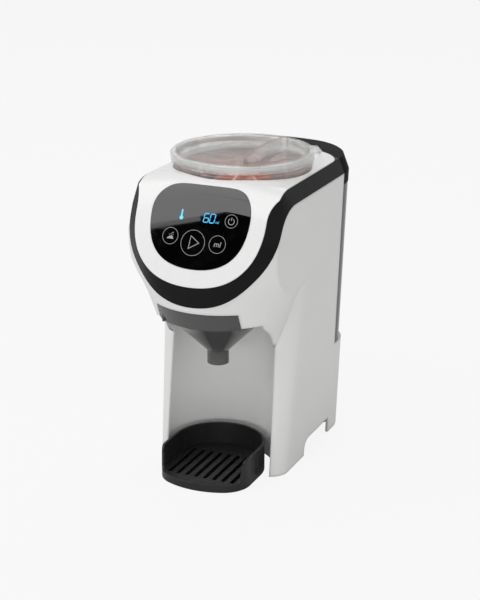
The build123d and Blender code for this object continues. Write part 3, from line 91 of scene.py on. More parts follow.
def remap(tree, value, low, high, new_low=0.0, new_high=1.0):
    """A value taken from the range low to high over to a new one, and held inside it."""
    return add(tree, "MapRange", i0=value, i1=low, i2=high, i3=new_low, i4=new_high).outputs[0]


def blend_colours(tree, share, first, second):
    return add(tree, "Mix", {"data_type": "RGBA"}, i0=share, i6=first, i7=second).outputs[2]


def shader_group(name, inputs, outputs):
    """An empty node group, its input node and its output node."""
    tree = bpy.data.node_groups.new(name, "ShaderNodeTree")
    for label, kind, value in inputs:
        socket = tree.interface.new_socket(label, in_out="INPUT", socket_type="NodeSocket" + kind)
        socket.default_value = value
    for label, kind in outputs:
        tree.interface.new_socket(label, in_out="OUTPUT", socket_type="NodeSocket" + kind)
    return tree, tree.nodes.new("NodeGroupInput"), tree.nodes.new("NodeGroupOutput")


def place(tree, group, **sockets):
    """The node group used inside a material, with this material's values."""
    made = tree.nodes.new("ShaderNodeGroup")
    made.node_tree = group
    return connect(tree, made, **sockets)


def start_material(name):
    """A new material, its node tree and its Principled shader."""
    material = bpy.data.materials.new(name)
    material.use_nodes = True
    return material, material.node_tree, material.node_tree.nodes["Principled BSDF"]


def varied_gloss(tree, rough, mask, change):
    """A roughness that starts at a plain value and changes where a mask says so."""
    return add(tree, "Math", {"operation": "MULTIPLY_ADD"}, i0=mask, i1=change, i2=rough).outputs[0]


def tone(colour, factor=1.0):
    """A colour with all its channels scaled, and the alpha that sockets ask for."""
    return tuple(min(1.0, channel * factor) for channel in colour[:3]) + (1.0,)

# %% [markdown]
# ## Rounded edges
# An injection mould can't make a knife edge: each corner has a small radius that catches the light as a
# thin line. Beveling every edge of the CAD meshes would be slow and would change them. The Bevel node
# instead bends the normal near an edge, as if the radius were there. Where the bent normal and the real
# one differ, the group also gives a mask, which materials use to paint a highlight along edges by
# making the colour lighter there.

# %% Group: rounded edges
def make_rounded_edges():
    tree, given, result = shader_group(
        "Rounded edges", [("Radius", "Float", 0.5 * mm)], [("Normal", "Vector"), ("Edge", "Float")]
    )
    flat, fully_bent = 0.995, 0.80
    bevel = add(tree, "Bevel", {"samples": 6}, Radius=given.outputs["Radius"]).outputs[0]
    surface = add(tree, "NewGeometry").outputs["Normal"]
    facing = add(tree, "VectorMath", {"operation": "DOT_PRODUCT"}, i0=bevel, i1=surface).outputs["Value"]
    connect(tree, result, Normal=bevel, Edge=remap(tree, facing, flat, fully_bent))
    return tree


rounded_edges = make_rounded_edges()
print("made the group", rounded_edges.name)

# %% [markdown]
# ## Moulded grain, handling marks, dust and brushing
# Four more effects are shared. Grain is the fine texture that a spark-eroded mould leaves, with a slow
# drift in tone where the plastic flowed. Handling marks are soft patches where fingers have changed the
# gloss. Dust settles on what faces up, in patches. Brushing is the set of fine lines that drawing or
# turning leaves on metal. All of them use object coordinates, which are real metres here, so a scale of
# 900 means features of about a millimetre.

# %% Group: moulded grain
def make_moulded_grain():
    tree, given, result = shader_group(
        "Moulded grain", [("Scale", "Float", 2500.0)], [("Height", "Float"), ("Drift", "Float")]
    )
    flow_scale = 14.0
    here = add(tree, "TexCoord").outputs["Object"]
    fine = add(tree, "TexNoise", Vector=here, Scale=given.outputs["Scale"], Detail=3.0, Roughness=0.6)
    slow = add(tree, "TexNoise", Vector=here, Scale=flow_scale, Detail=2.0, Roughness=0.5)
    connect(tree, result, Height=fine.outputs[0], Drift=remap(tree, slow.outputs[0], 0.3, 0.7))
    return tree


moulded_grain = make_moulded_grain()
print("made the group", moulded_grain.name)

# %% Group: handling marks
def make_handling_marks():
    tree, given, result = shader_group(
        "Handling marks", [("Patch Scale", "Float", 45.0)], [("Smudge", "Float")]
    )
    skin_ridges, strength = 1400.0, 1.8
    here = add(tree, "TexCoord").outputs["Object"]
    patch = add(
        tree, "TexNoise", Vector=here, Scale=given.outputs["Patch Scale"], Detail=4.0, Distortion=0.6
    )
    patches = remap(tree, patch.outputs[0], 0.48, 0.72)
    ridges = add(tree, "TexNoise", Vector=here, Scale=skin_ridges, Detail=2.0)
    broken = math_node(tree, "MULTIPLY", patches, ridges.outputs[0])
    connect(tree, result, Smudge=math_node(tree, "MULTIPLY", broken, strength, True))
    return tree


handling_marks = make_handling_marks()
print("made the group", handling_marks.name)

# %% Group: settled dust
def make_settled_dust():
    tree, given, result = shader_group("Settled dust", [("Amount", "Float", 0.1)], [("Mask", "Float")])
    speck_scale = 320.0
    normal = add(tree, "SeparateXYZ", i0=add(tree, "NewGeometry").outputs["Normal"])
    level = remap(tree, normal.outputs["Z"], 0.5, 0.98)
    here = add(tree, "TexCoord").outputs["Object"]
    specks = add(tree, "TexNoise", Vector=here, Scale=speck_scale, Detail=5.0, Roughness=0.7)
    both = math_node(tree, "MULTIPLY", level, remap(tree, specks.outputs[0], 0.42, 0.75))
    connect(tree, result, Mask=math_node(tree, "MULTIPLY", both, given.outputs["Amount"]))
    return tree


settled_dust = make_settled_dust()
print("made the group", settled_dust.name)

# %% Group: brushing
def make_brushing():
    tree, given, result = shader_group(
        "Brushing", [("Stretch", "Vector", (1.0, 1.0, 0.02)), ("Scale", "Float", 2200.0)],
        [("Height", "Float")],
    )
    here = add(tree, "TexCoord").outputs["Object"]
    along = add(tree, "VectorMath", {"operation": "MULTIPLY"}, i0=here, i1=given.outputs["Stretch"])
    lines = add(tree, "TexNoise", Vector=along.outputs[0], Scale=given.outputs["Scale"], Detail=3.0)
    connect(tree, result, Height=lines.outputs[0])
    return tree


brushing = make_brushing()
print("shared effects:", [group.name for group in bpy.data.node_groups])

# %% [markdown]
# ## Opaque plastics and rubber
# Most of the machine is injection-moulded plastic. What tells one moulding from another is its colour,
# how glossy the mould was, how deep its grain is and how rounded its edges are. One function builds such
# a material from those facts, which is shorter and easier to compare than a tree for each. The numbers
# that are the same all over a piece sit on the Principled shader's own sockets.

# %% One plastic from its facts
dust_grey = (0.62, 0.60, 0.57)
# A painted highlight: how much lighter the colour is made along rounded edges.
edge_highlight_lift = 0.08
coat_rough = 0.06


def plastic(
    name, colour, rough, grain=2500.0, depth=0.02, edge=0.5 * mm, drift=0.06, edge_highlight=0.10, smudge=0.06,
    dust=0.05, coat=0.0, specular=0.5,
):
    """Grain depth is in millimetres. Drift, edge_highlight (a painted highlight), smudge and dust are the
    strengths of shared effects.
    """
    material, tree, shader = start_material(name)
    texture = place(tree, moulded_grain, Scale=grain)
    soft = place(tree, rounded_edges, Radius=edge)
    smudged = place(tree, handling_marks).outputs["Smudge"]
    settled = place(tree, settled_dust, Amount=dust).outputs["Mask"]
    flowed = blend_colours(tree, texture.outputs["Drift"], tone(colour), tone(colour, 1.0 - drift))
    # Painted highlight along edges: the edge mask times its strength lightens the colour.
    edge_highlight_share = math_node(tree, "MULTIPLY", soft.outputs["Edge"], edge_highlight)
    edge_highlighted = blend_colours(tree, edge_highlight_share, flowed, tone(tuple(channel + edge_highlight_lift for channel in colour)))
    bump = add(
        tree, "Bump", Strength=1.0, Distance=depth * mm, Height=texture.outputs["Height"],
        Normal=soft.outputs["Normal"],
    )
    connect(
        tree, shader, Base_Color=blend_colours(tree, settled, edge_highlighted, tone(dust_grey)),
        Roughness=varied_gloss(tree, rough, smudged, smudge), Normal=bump.outputs[0],
        Coat_Weight=coat, Coat_Roughness=coat_rough, Specular_IOR_Level=specular,
    )
    return material

# %% [markdown]
# The housing gets a much wider rounding than the rest, since its side wall flows into the legs. The
# black band and the tank's lid mirror very little, so that they stay near black under a bright softbox.

# %% The outer plastics
satin_white = plastic(
    "Satin white housing", (0.80, 0.80, 0.79), 0.34, grain=3200, depth=0.010, edge=4.0 * mm, drift=0.02,
    edge_highlight=0.05, smudge=0.05, dust=0.02,
)
gloss_white = plastic(
    "Gloss white cover", (0.89, 0.89, 0.885), 0.22, grain=1500, depth=0.004, edge=0.7 * mm, drift=0.015,
    edge_highlight=0.05, smudge=0.05, dust=0.02, coat=0.25,
)
piano_black = plastic(
    "Gloss black trim", (0.012, 0.012, 0.013), 0.24, grain=1800, depth=0.004, edge=0.7 * mm, drift=0.10,
    edge_highlight=0.35, smudge=0.10, dust=0.004, specular=0.06,
)
satin_black = plastic(
    "Satin black tank lid", (0.010, 0.010, 0.011), 0.38, grain=2400, depth=0.01, edge=0.8 * mm, drift=0.10,
    edge_highlight=0.5, smudge=0.08, dust=0.003, specular=0.012,
)
grained_black = plastic(
    "Grained black tray", (0.018, 0.018, 0.019), 0.36, grain=2600, depth=0.03, edge=0.6 * mm, drift=0.12,
    edge_highlight=0.4, smudge=0.10, dust=0.006, specular=0.3,
)
print("outer plastics:", [material.name for material in bpy.data.materials])

# %% The inner plastics and the rubbers
grey_internal = plastic(
    "Grey internal moulding", (0.62, 0.62, 0.61), 0.48, grain=2200, depth=0.03, dust=0.02
)
dark_internal = plastic(
    "Black glass-filled frame", (0.045, 0.046, 0.05), 0.55, grain=1700, depth=0.05, dust=0.06
)
white_gear = plastic(
    "Acetal gear", (0.80, 0.79, 0.75), 0.36, grain=2800, depth=0.008, edge_highlight=0.2, dust=0.0
)
pump_black = plastic("Pump moulding", (0.03, 0.032, 0.036), 0.42, grain=2300, depth=0.03)
soft_grey = plastic("Valve moulding", (0.72, 0.72, 0.71), 0.35, grain=2700, depth=0.01, dust=0.0)
black_rubber = plastic(
    "Black rubber", (0.022, 0.022, 0.022), 0.78, grain=1300, depth=0.06, smudge=-0.12, dust=0.10,
    specular=0.3,
)
seal_silicone = plastic(
    "Milky silicone seal", (0.66, 0.66, 0.64), 0.55, grain=2000, depth=0.02, dust=0.0, specular=0.35
)
carbon_pads = plastic("Conductive key pads", (0.035, 0.035, 0.037), 0.62, grain=1900, depth=0.04, dust=0.0)
pump_rubber = plastic("Pump cradle rubber", (0.06, 0.06, 0.062), 0.70, grain=1500, depth=0.05, dust=0.05)
print("materials so far:", len(bpy.data.materials))

# %% [markdown]
# ## Clear and smoked plastics
# The powder container and its lid are clear copolyester, the water tank and the funnel are smoked. Light
# really passes through them, so they use transmission with the plastic's own index. The clear ones also
# cover only part of what is behind them, through Alpha, because a renderer's shadow ray stops at
# refracting walls and the powder space would stay dark. A faint haze of fine scratches and flow lines in
# the roughness keeps them from looking like perfect glass, and a highlight is painted along the rounded
# edges, whose colour is lightened towards white.

# %% Clear plastics
plastic_index, silicone_index = 1.5, 1.41
# The painted edge highlight's colour: this share of white over the plastic's own colour at the rest.
highlight_white, highlight_keep = 0.25, 0.75


def clear_plastic(name, colour, rough, haze=0.06, glow=0.0, through=1.0, index=plastic_index, cover=1.0):
    """Through is the share that passes into the plastic, cover the share that isn't simply seen past, glow
    the strength of a painted highlight along edges.
    """
    edge_radius, ripple_depth, ripple_scale = 0.5 * mm, 0.01 * mm, 700.0
    finger_scale, flow_fade = 60.0, 0.95
    material, tree, shader = start_material(name)
    soft = place(tree, rounded_edges, Radius=edge_radius)
    texture = place(tree, moulded_grain, Scale=ripple_scale)
    smudged = place(tree, handling_marks, Patch_Scale=finger_scale).outputs["Smudge"]
    flowed = blend_colours(tree, texture.outputs["Drift"], tone(colour), tone(colour, flow_fade))
    # Painted highlight: along rounded edges the colour is lightened towards white.
    lit = math_node(tree, "MULTIPLY", soft.outputs["Edge"], glow)
    lit_colour = tone(tuple(highlight_white + highlight_keep * channel for channel in colour))
    bump = add(
        tree, "Bump", Strength=1.0, Distance=ripple_depth, Height=texture.outputs["Height"],
        Normal=soft.outputs["Normal"],
    )
    connect(
        tree, shader, Base_Color=blend_colours(tree, lit, flowed, lit_colour),
        Roughness=varied_gloss(tree, rough, smudged, haze), Normal=bump.outputs[0],
        Transmission_Weight=through, IOR=index, Alpha=cover,
    )
    return material


clear_lid = clear_plastic("Clear lid", (0.975, 0.98, 0.98), 0.03, haze=0.03, glow=0.5, cover=0.55)
clear_bin = clear_plastic(
    "Clear powder container", (0.965, 0.97, 0.965), 0.05, haze=0.04, glow=0.4, cover=0.45
)
smoke_tank = clear_plastic("Smoked water tank", (0.035, 0.036, 0.038), 0.12, glow=0.2, through=0.3)
smoke_funnel = clear_plastic("Smoked funnel", (0.135, 0.135, 0.132), 0.16, glow=0.3, through=0.5)
clear_hose = clear_plastic(
    "Silicone hose", (0.86, 0.87, 0.86), 0.30, haze=0.1, through=0.6, index=silicone_index
)
coral_wheel = clear_plastic("Coral stirring wheel", (0.95, 0.40, 0.27), 0.24, glow=0.3, through=0.15)
print("clear plastics use the index", plastic_index)

# %% [markdown]
# ## Metals
# Shaft, screws, spring, heater and motor are metal. A metal's colour is the colour of its mirror image, so
# it goes into the base colour with Metallic at one. A drawn or turned surface shows fine lines one way, so
# the brushing group is stretched along the piece and feeds both the bump and the gloss, a slow stain
# darkens the metal here and there, and a highlight is painted along rounded edges.

# %% Metals
every_way = (1.0, 1.0, 1.0)
along_z = (1.0, 1.0, 0.02)
round_z = (1.0, 1.0, 8.0)


def metal(name, colour, rough, stretch=along_z, scale=2200.0, depth=0.012, stain=0.18):
    """The lines run along the axis whose stretch is the smallest. Depth is in millimetres."""
    edge_radius, edge_shine, stain_scale, gloss_spread = 0.3 * mm, 1.15, 900.0, 0.12
    material, tree, shader = start_material(name)
    lines = place(tree, brushing, Stretch=stretch, Scale=scale).outputs["Height"]
    texture = place(tree, moulded_grain, Scale=stain_scale)
    soft = place(tree, rounded_edges, Radius=edge_radius)
    stained = blend_colours(tree, texture.outputs["Drift"], tone(colour), tone(colour, 1.0 - stain))
    bump = add(
        tree, "Bump", Strength=1.0, Distance=depth * mm, Height=lines, Normal=soft.outputs["Normal"]
    )
    # Painted highlight: the base colour is made brighter along rounded edges.
    connect(
        tree, shader,
        Base_Color=blend_colours(tree, soft.outputs["Edge"], stained, tone(colour, edge_shine)),
        Roughness=varied_gloss(tree, rough, lines, gloss_spread), Normal=bump.outputs[0], Metallic=1.0,
    )
    return material


steel = metal("Bright steel", (0.62, 0.61, 0.59), 0.20)
zinc_screws = metal("Zinc-plated screws", (0.58, 0.58, 0.60), 0.28, stretch=every_way, scale=1500.0)
spring_steel = metal("Spring steel", (0.52, 0.51, 0.50), 0.18, stretch=every_way)
brass = metal("Machined brass", (0.72, 0.52, 0.24), 0.24, stretch=round_z, scale=900.0)
bronze = metal("Sintered bronze", (0.60, 0.40, 0.20), 0.42, stretch=every_way, scale=2600.0, depth=0.04)
motor_can = metal("Plated motor can", (0.55, 0.55, 0.56), 0.26)
heater_shell = metal("Drawn steel heater", (0.64, 0.63, 0.61), 0.24, depth=0.015)
galvanised = metal(
    "Galvanised bracket", (0.56, 0.57, 0.58), 0.38, stretch=every_way, scale=120.0, stain=0.3
)
print("materials so far:", len(bpy.data.materials))

# %% [markdown]
# ## The plane of the face
# The control face leans back. The boards and the panel's marks follow it, so its origin, its normal and
# the direction that runs up it are worked out once.

# %% Face plane
face_tilt = radians(25.2)
face_normal = Vector((0, -cos(face_tilt), sin(face_tilt)))
face_up = Vector((0, sin(face_tilt), cos(face_tilt)))
face_origin = Vector((0, -107, 240)) * mm


def on_face(x, v, height):
    """A point across and up the panel that stands off the face plane by a height, all in millimetres."""
    return face_origin + (Vector((x, 0, 0)) + face_up * v + face_normal * height) * mm


print("the face leans back by", round(degrees(face_tilt), 1), "degrees")

# %% [markdown]
# ## Circuit boards
# A board is glass-filled laminate under a green lacquer, with copper tracks showing through as slightly
# raised, lighter lines, and pads of bare solder. Modelling each track would be lost work inside a
# housing. A Brick texture in the plane of the board gives runs of track, a Voronoi gives the pads, and
# what stands above the board is the dark epoxy of chips and relays.

# %% Circuit boards
lacquer, lacquer_dark = (0.010, 0.105, 0.045), (0.008, 0.085, 0.038)
track_green, solder, epoxy = (0.045, 0.22, 0.09), (0.60, 0.58, 0.52), (0.022, 0.022, 0.024)
track_width, track_run, track_pitch, track_relief = 0.4 * mm, 11 * mm, 3.2 * mm, 0.05 * mm
pad_scale, pad_rim, pad_heart = 230.0, 0.26, 0.22
lacquer_rough, solder_metal = 0.36, 0.9
laminate_margin = 0.15 * mm


def circuit_board(name, top_axis, top_at):
    """top_axis is the board's upward normal and top_at how far along it the bare laminate ends."""
    material, tree, shader = start_material(name)
    here = add(tree, "TexCoord").outputs["Object"]
    tracks = add(
        tree, "TexBrick", {"offset": 0.35, "squash": 0.6, "squash_frequency": 3}, Vector=here, Scale=1.0,
        Mortar_Size=track_width, Brick_Width=track_run, Row_Height=track_pitch,
    ).outputs["Fac"]
    pads = add(tree, "TexVoronoi", {"feature": "F1"}, Vector=here, Scale=pad_scale, Randomness=0.35)
    pad = remap(tree, pads.outputs["Distance"], pad_rim, pad_heart)
    drift = place(tree, moulded_grain, Scale=1800.0)
    green = blend_colours(tree, drift.outputs["Drift"], tone(lacquer), tone(lacquer_dark))
    lined = blend_colours(tree, tracks, green, tone(track_green))
    padded = blend_colours(tree, pad, lined, tone(solder))
    height = add(tree, "VectorMath", {"operation": "DOT_PRODUCT"}, i0=here, i1=top_axis).outputs["Value"]
    above = math_node(tree, "GREATER_THAN", height, top_at + laminate_margin)
    shine = math_node(tree, "MULTIPLY", pad, math_node(tree, "SUBTRACT", 1.0, above))
    raised = math_node(tree, "ADD", tracks, drift.outputs["Height"])
    bump = add(tree, "Bump", Strength=0.6, Distance=track_relief, Height=raised)
    connect(
        tree, shader, Base_Color=blend_colours(tree, above, padded, tone(epoxy)),
        Metallic=math_node(tree, "MULTIPLY", shine, solder_metal), Normal=bump.outputs[0],
        Roughness=lacquer_rough,
    )
    return material


main_board_top = 28.6 * mm
touch_board_depth = 7.5 * mm
main_laminate = circuit_board("Main board laminate", (0, 0, 1), main_board_top)
front_laminate = circuit_board(
    "Touch board laminate", tuple(-face_normal), -face_normal.dot(face_origin) + touch_board_depth
)
print("boards:", main_laminate.name, "and", front_laminate.name)

# %% [markdown]
# ## The touch panel's glass
# The panel is a thin black-backed acrylic sheet. It is nearly black itself, so its whole look is the
# mirror-like first surface. It gets a very low roughness, a few hairline scratches from wiping, and
# faint finger marks.

# %% Panel glass
glass_black, glass_smudged = (0.0014, 0.0014, 0.0015), (0.004, 0.004, 0.004)
glass_rough, smudge_rough = 0.018, 0.03
finger_scale, glass_edge = 70.0, 0.5 * mm
wipe_scale, wipe_depth, across_panel = 1600.0, 0.0006 * mm, (0.05, 1.0, 1.0)


def panel_glass(name):
    material, tree, shader = start_material(name)
    smudged = place(tree, handling_marks, Patch_Scale=finger_scale).outputs["Smudge"]
    soft = place(tree, rounded_edges, Radius=glass_edge)
    wiped = place(tree, brushing, Stretch=across_panel, Scale=wipe_scale)
    bump = add(
        tree, "Bump", Strength=0.5, Distance=wipe_depth, Height=wiped.outputs["Height"],
        Normal=soft.outputs["Normal"],
    )
    connect(
        tree, shader, Base_Color=blend_colours(tree, smudged, tone(glass_black), tone(glass_smudged)),
        Roughness=varied_gloss(tree, glass_rough, smudged, smudge_rough), Normal=bump.outputs[0],
        Specular_IOR_Level=1.0,
    )
    return material


black_glass = panel_glass("Black touch panel")
display_glass = panel_glass("Display glass")
print("glass:", black_glass.name, "and", display_glass.name)

# %% [markdown]
# ## Giving each solid its finish
# A CAD node keeps its mesh and gets its material in its own slot. The table reads like a parts list:
# finish first, then the pieces that are made of it.

# %% Assign the finishes
finishes = [
    (satin_white, ["housing"]),
    (gloss_white, ["top_cover"]),
    (piano_black, ["trim_band"]),
    (satin_black, ["tank_lid"]),
    (black_glass, ["control_panel"]),
    (display_glass, ["display_module"]),
    (carbon_pads, ["key_pads"]),
    (front_laminate, ["display_board"]),
    (main_laminate, ["main_board"]),
    (clear_bin, ["hopper", "powder_scraper"]),
    (clear_lid, ["hopper_lid"]),
    (seal_silicone, ["lid_seal", "seat_seal"]),
    (coral_wheel, ["powder_wheel"]),
    (grey_internal, ["hopper_well", "funnel_guide", "powder_chute", "tank_seat", "water_nozzle"]),
    (dark_internal, ["chassis", "base_plate", "funnel_switch"]),
    (bronze, ["shaft_bush"]),
    (steel, ["drive_shaft"]),
    (white_gear, ["drive_gear"]),
    (brass, ["pinion"]),
    (motor_can, ["gear_motor"]),
    (zinc_screws, ["motor_screws", "housing_screws", "board_screws"]),
    (smoke_funnel, ["funnel"]),
    (smoke_tank, ["water_tank"]),
    (soft_grey, ["tank_valve"]),
    (spring_steel, ["valve_spring"]),
    (pump_black, ["water_pump", "power_inlet", "thermostat"]),
    (pump_rubber, ["pump_mounts"]),
    (heater_shell, ["water_heater"]),
    (galvanised, ["heater_bracket"]),
    (clear_hose, ["tank_hose", "pump_hose", "nozzle_hose"]),
    (black_rubber, ["rubber_feet"]),
    (grained_black, ["drip_tray", "drip_grille"]),
]
dressed = set()
for material, names in finishes:
    for name in names:
        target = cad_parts[name]
        target.data.materials.clear()
        target.data.materials.append(material)
        dressed.add(name)
print("without a finish:", sorted(set(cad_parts) - dressed))

# %% [markdown]
# ## Printed marks on the touch panel
# The keys are printed on the glass as thin grey lines: a ring round each, and inside it a heap of
# powder, a play triangle, "ml" for the units, and the usual power sign. A picture wrapped on the panel
# would blur up close. Print is a film of ink, so each mark is a flat outline given a thickness of a few
# hundredths of a millimetre and laid on the glass. Outlines are drawn in the panel's own plane, across
# and up, in millimetres.

# %% Flat marks on the face
ink_low, ink_high = 0.31, 0.36


def thin_prism(mesh, points):
    """One flat outline, given across and up the panel, as a closed solid of the ink's thickness."""
    lower = [mesh.verts.new(on_face(x, v, ink_low)) for x, v in points]
    upper = [mesh.verts.new(on_face(x, v, ink_high)) for x, v in points]
    mesh.faces.new(upper)
    mesh.faces.new(lower[::-1])
    for one in range(len(points)):
        two = (one + 1) % len(points)
        mesh.faces.new((lower[one], lower[two], upper[two], upper[one]))


def mark_mesh(name, outlines, strips, material):
    """Thin solids on the panel: outlines are filled polygons, strips are pairs of inner and outer lines."""
    mesh = bmesh.new()
    for points in outlines:
        thin_prism(mesh, points)
    for inner, outer in strips:
        for one in range(len(inner) - 1):
            thin_prism(mesh, [outer[one], outer[one + 1], inner[one + 1], inner[one]])
    bmesh.ops.remove_doubles(mesh, verts=mesh.verts, dist=1e-7)
    inside = [face for face in mesh.faces if all(len(edge.link_faces) > 2 for edge in face.edges)]
    bmesh.ops.delete(mesh, geom=inside, context="FACES_ONLY")
    bmesh.ops.recalc_face_normals(mesh, faces=mesh.faces)
    data = bpy.data.meshes.new(name)
    mesh.to_mesh(data)
    mesh.free()
    data.materials.append(material)
    made = bpy.data.objects.new(name, data)
    bpy.context.scene.collection.objects.link(made)
    return made


print("the ink stands from", ink_low, "to", ink_high, "mm off the face plane")

# %% Rings and lines
def around(x, v, radius, angles):
    """Points on a circle in the panel's plane, at angles in radians."""
    return [(x + radius * cos(angle), v + radius * sin(angle)) for angle in angles]


def arc_strip(x, v, radius, width, start=0.0, end=360.0, steps=48):
    """Inner and outer line of a ring, or of a part of one between two angles in degrees."""
    angles = [radians(start + (end - start) * step / steps) for step in range(steps + 1)]
    return [around(x, v, radius - width / 2, angles), around(x, v, radius + width / 2, angles)]


def line_strip(points, width):
    """Inner and outer line of a path with even width and mitred corners."""
    shortest_mitre = 0.35
    inner, outer = [], []
    closed = points[0] == points[-1]
    for index, point in enumerate(points):
        before = points[index - 1] if index else (points[-2] if closed else None)
        after = points[index + 1] if index + 1 < len(points) else (points[1] if closed else None)
        steps = [(a, b) for a, b in ((before, point), (point, after)) if a and b]
        ways = [(Vector(b) - Vector(a)).normalized() for a, b in steps]
        along = sum(ways, Vector((0, 0))).normalized()
        side = Vector((-along.y, along.x))
        lean = abs(side.dot(Vector((-ways[0].y, ways[0].x))))
        reach = width / 2 / max(shortest_mitre, lean)
        inner.append(tuple(Vector(point) - side * reach))
        outer.append(tuple(Vector(point) + side * reach))
    return [inner, outer]


print("points on each line of a ring:", len(arc_strip(0, 0, 1, 0.1)[0]))

# %% [markdown]
# Each key has a place on the panel and a ring of its own size. The signs inside are drawn from the
# middle of their ring, so a key can be moved by changing one line.

# %% Keys
ink = plastic(
    "Grey print on glass", (0.40, 0.40, 0.40), 0.45, depth=0.002, edge=0.02 * mm, edge_highlight=0.0, dust=0.0
)
ring_line, sign_line = 0.38, 0.6
keys = {
    "powder": (-26.3, 6.9, 7.7),
    "start": (-2.8, 3.0, 11.8),
    "units": (21.6, 4.3, 8.1),
    "power": (31.3, 26.8, 6.1),
}
rings = [arc_strip(x, v, radius, ring_line, steps=64) for x, v, radius in keys.values()]

x, v = keys["start"][:2]
triangle = [(x + 6.1, v + 0.4), (x - 2.7, v + 6.2), (x - 3.6, v - 5.7)]
play = line_strip([*triangle, triangle[0]], sign_line)

x, v = keys["power"][:2]
arc_r, arc_drop, gap_from, gap_to = 2.9, 0.2, 58, 122
stroke_low, stroke_high = 0.6, 3.6
power = [
    arc_strip(x, v - arc_drop, arc_r, sign_line, start=gap_to, end=360 + gap_from, steps=24),
    line_strip([(x, v + stroke_low), (x, v + stroke_high)], sign_line),
]

x, v = keys["powder"][:2]
heap_outline = [(-3.4, -2.6), (3.5, -2.6), (2.6, -0.4), (1.2, 0.5), (-0.6, -0.2), (-2.2, -1.2)]
grain_places = [(0.6, 1.7), (2.3, 1.4), (1.3, 3.0), (-0.9, 1.2), (2.6, 3.3)]
grain_r = 0.45
six_sides = [radians(60 * corner) for corner in range(6)]
heap = [[(x + across, v + up) for across, up in heap_outline]]
heap += [around(x + across, v + up, grain_r, six_sides) for across, up in grain_places]

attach(mark_mesh("key_print", heap, [*rings, play, *power], ink), "base")
print("keys printed:", list(keys))

# %% [markdown]
# ## The lit display
# Behind the glass a small display shows the amount as two seven-segment digits and a thermometer for the
# warm setting. Lit segments are thin shapes that give off cool blue light. They lie level with the
# print, since they are seen through a glass that can't be looked into.

# %% Lit material
def lit_material(name, colour, strength):
    """Light that is a little uneven, as from small diodes behind a diffuser."""
    material, tree, shader = start_material(name)
    here = add(tree, "TexCoord").outputs["Object"]
    cells = add(tree, "TexNoise", Vector=here, Scale=2600.0, Detail=1.0)
    uneven = remap(tree, cells.outputs[0], 0.3, 0.7)
    glow = blend_colours(tree, uneven, tone(colour), tone(colour, 0.82))
    connect(tree, shader, Emission_Color=glow, Base_Color=glow, Emission_Strength=strength, Roughness=0.3)
    return material


display_strength = 0.85
cyan_light = lit_material("Lit segments", (0.040, 0.38, 0.66), display_strength)
pale_light = lit_material("Lit thermometer", (0.12, 0.52, 0.72), display_strength)
print("lit materials:", cyan_light.name, "and", pale_light.name)

# %% Digits
digit_w, digit_h, bar, lean, bar_gap = 4.7, 8.2, 0.95, 0.10, 0.12
six_left, zero_left, digits_base = 3.6, 9.7, 23.2
bars_of_six, bars_of_zero = "afgedc", "abcdef"


def level_bar(y):
    """The outline of a bar that lies across the digit."""
    half, left, right = bar / 2, bar_gap, digit_w - bar_gap
    return [(left, y), (left + half, y + half), (right - half, y + half), (right, y),
            (right - half, y - half), (left + half, y - half)]


def upright_bar(x, y):
    """The outline of a bar that stands at one side, from y up."""
    half, low, high = bar / 2, y + bar_gap, y + digit_h / 2 - bar_gap
    return [(x, low), (x + half, low + half), (x + half, high - half), (x, high),
            (x - half, high - half), (x - half, low + half)]


def digit_outlines(left, base, shown):
    """The lit bars of one seven-segment digit as leaning six-sided outlines."""
    middle = digit_h / 2
    bars = {
        "a": level_bar(digit_h), "g": level_bar(middle), "d": level_bar(0.0),
        "f": upright_bar(0, middle), "b": upright_bar(digit_w, middle),
        "e": upright_bar(0, 0), "c": upright_bar(digit_w, 0),
    }
    return [[(left + x + lean * y, base + y) for x, y in bars[letter]] for letter in shown]


digits = digit_outlines(six_left, digits_base, bars_of_six)
digits += digit_outlines(zero_left, digits_base, bars_of_zero)
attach(mark_mesh("display_digits", digits, [], cyan_light), "base")
print("lit bars:", len(digits))

# %% Thermometer
bulb_x, bulb_v, bulb_r = -18.6, 24.9, 1.9
stem_r, stem_top = 0.75, 32.0
bulb_steps, cap_steps = 20, 6
join = degrees(asin(stem_r / bulb_r))
bulb_turn = 360 - 2 * join
bulb_angles = [radians(90 - join - step * bulb_turn / bulb_steps) for step in range(bulb_steps + 1)]
cap_angles = [radians(180 - 180 * step / cap_steps) for step in range(cap_steps + 1)]
thermometer = around(bulb_x, bulb_v, bulb_r, bulb_angles) + around(bulb_x, stem_top, stem_r, cap_angles)
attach(mark_mesh("display_thermometer", [thermometer], [], pale_light), "base")
print("thermometer points:", len(thermometer))

# %% [markdown]
# ## Unit letters
# The units key and the display both show "ml". Blender's own font gives the letters, which are turned
# into a mesh and set in the panel's plane, as the other marks are.

# %% Letters
letter_shear = 0.12


def unit_letters(name, x, v, size, material):
    """The letters ml on the panel, x and v being the middle of their foot."""
    curve = bpy.data.curves.new(name + "_line", "FONT")
    curve.body, curve.size, curve.shear = "ml", size, letter_shear
    curve.extrude, curve.align_x = (ink_high - ink_low) / 2, "CENTER"
    source = bpy.data.objects.new(name + "_line", curve)
    bpy.context.scene.collection.objects.link(source)
    bpy.context.view_layer.update()
    data = bpy.data.meshes.new_from_object(source.evaluated_get(bpy.context.evaluated_depsgraph_get()))
    bpy.data.objects.remove(source)
    axes = Matrix((Vector((1, 0, 0)), face_up, face_normal)).transposed().to_4x4()
    middle = on_face(x, v, (ink_low + ink_high) / 2)
    data.transform(Matrix.Translation(middle) @ axes @ Matrix.Scale(mm, 4))
    data.materials.clear()
    data.materials.append(material)
    made = bpy.data.objects.new(name, data)
    bpy.context.scene.collection.objects.link(made)
    return made


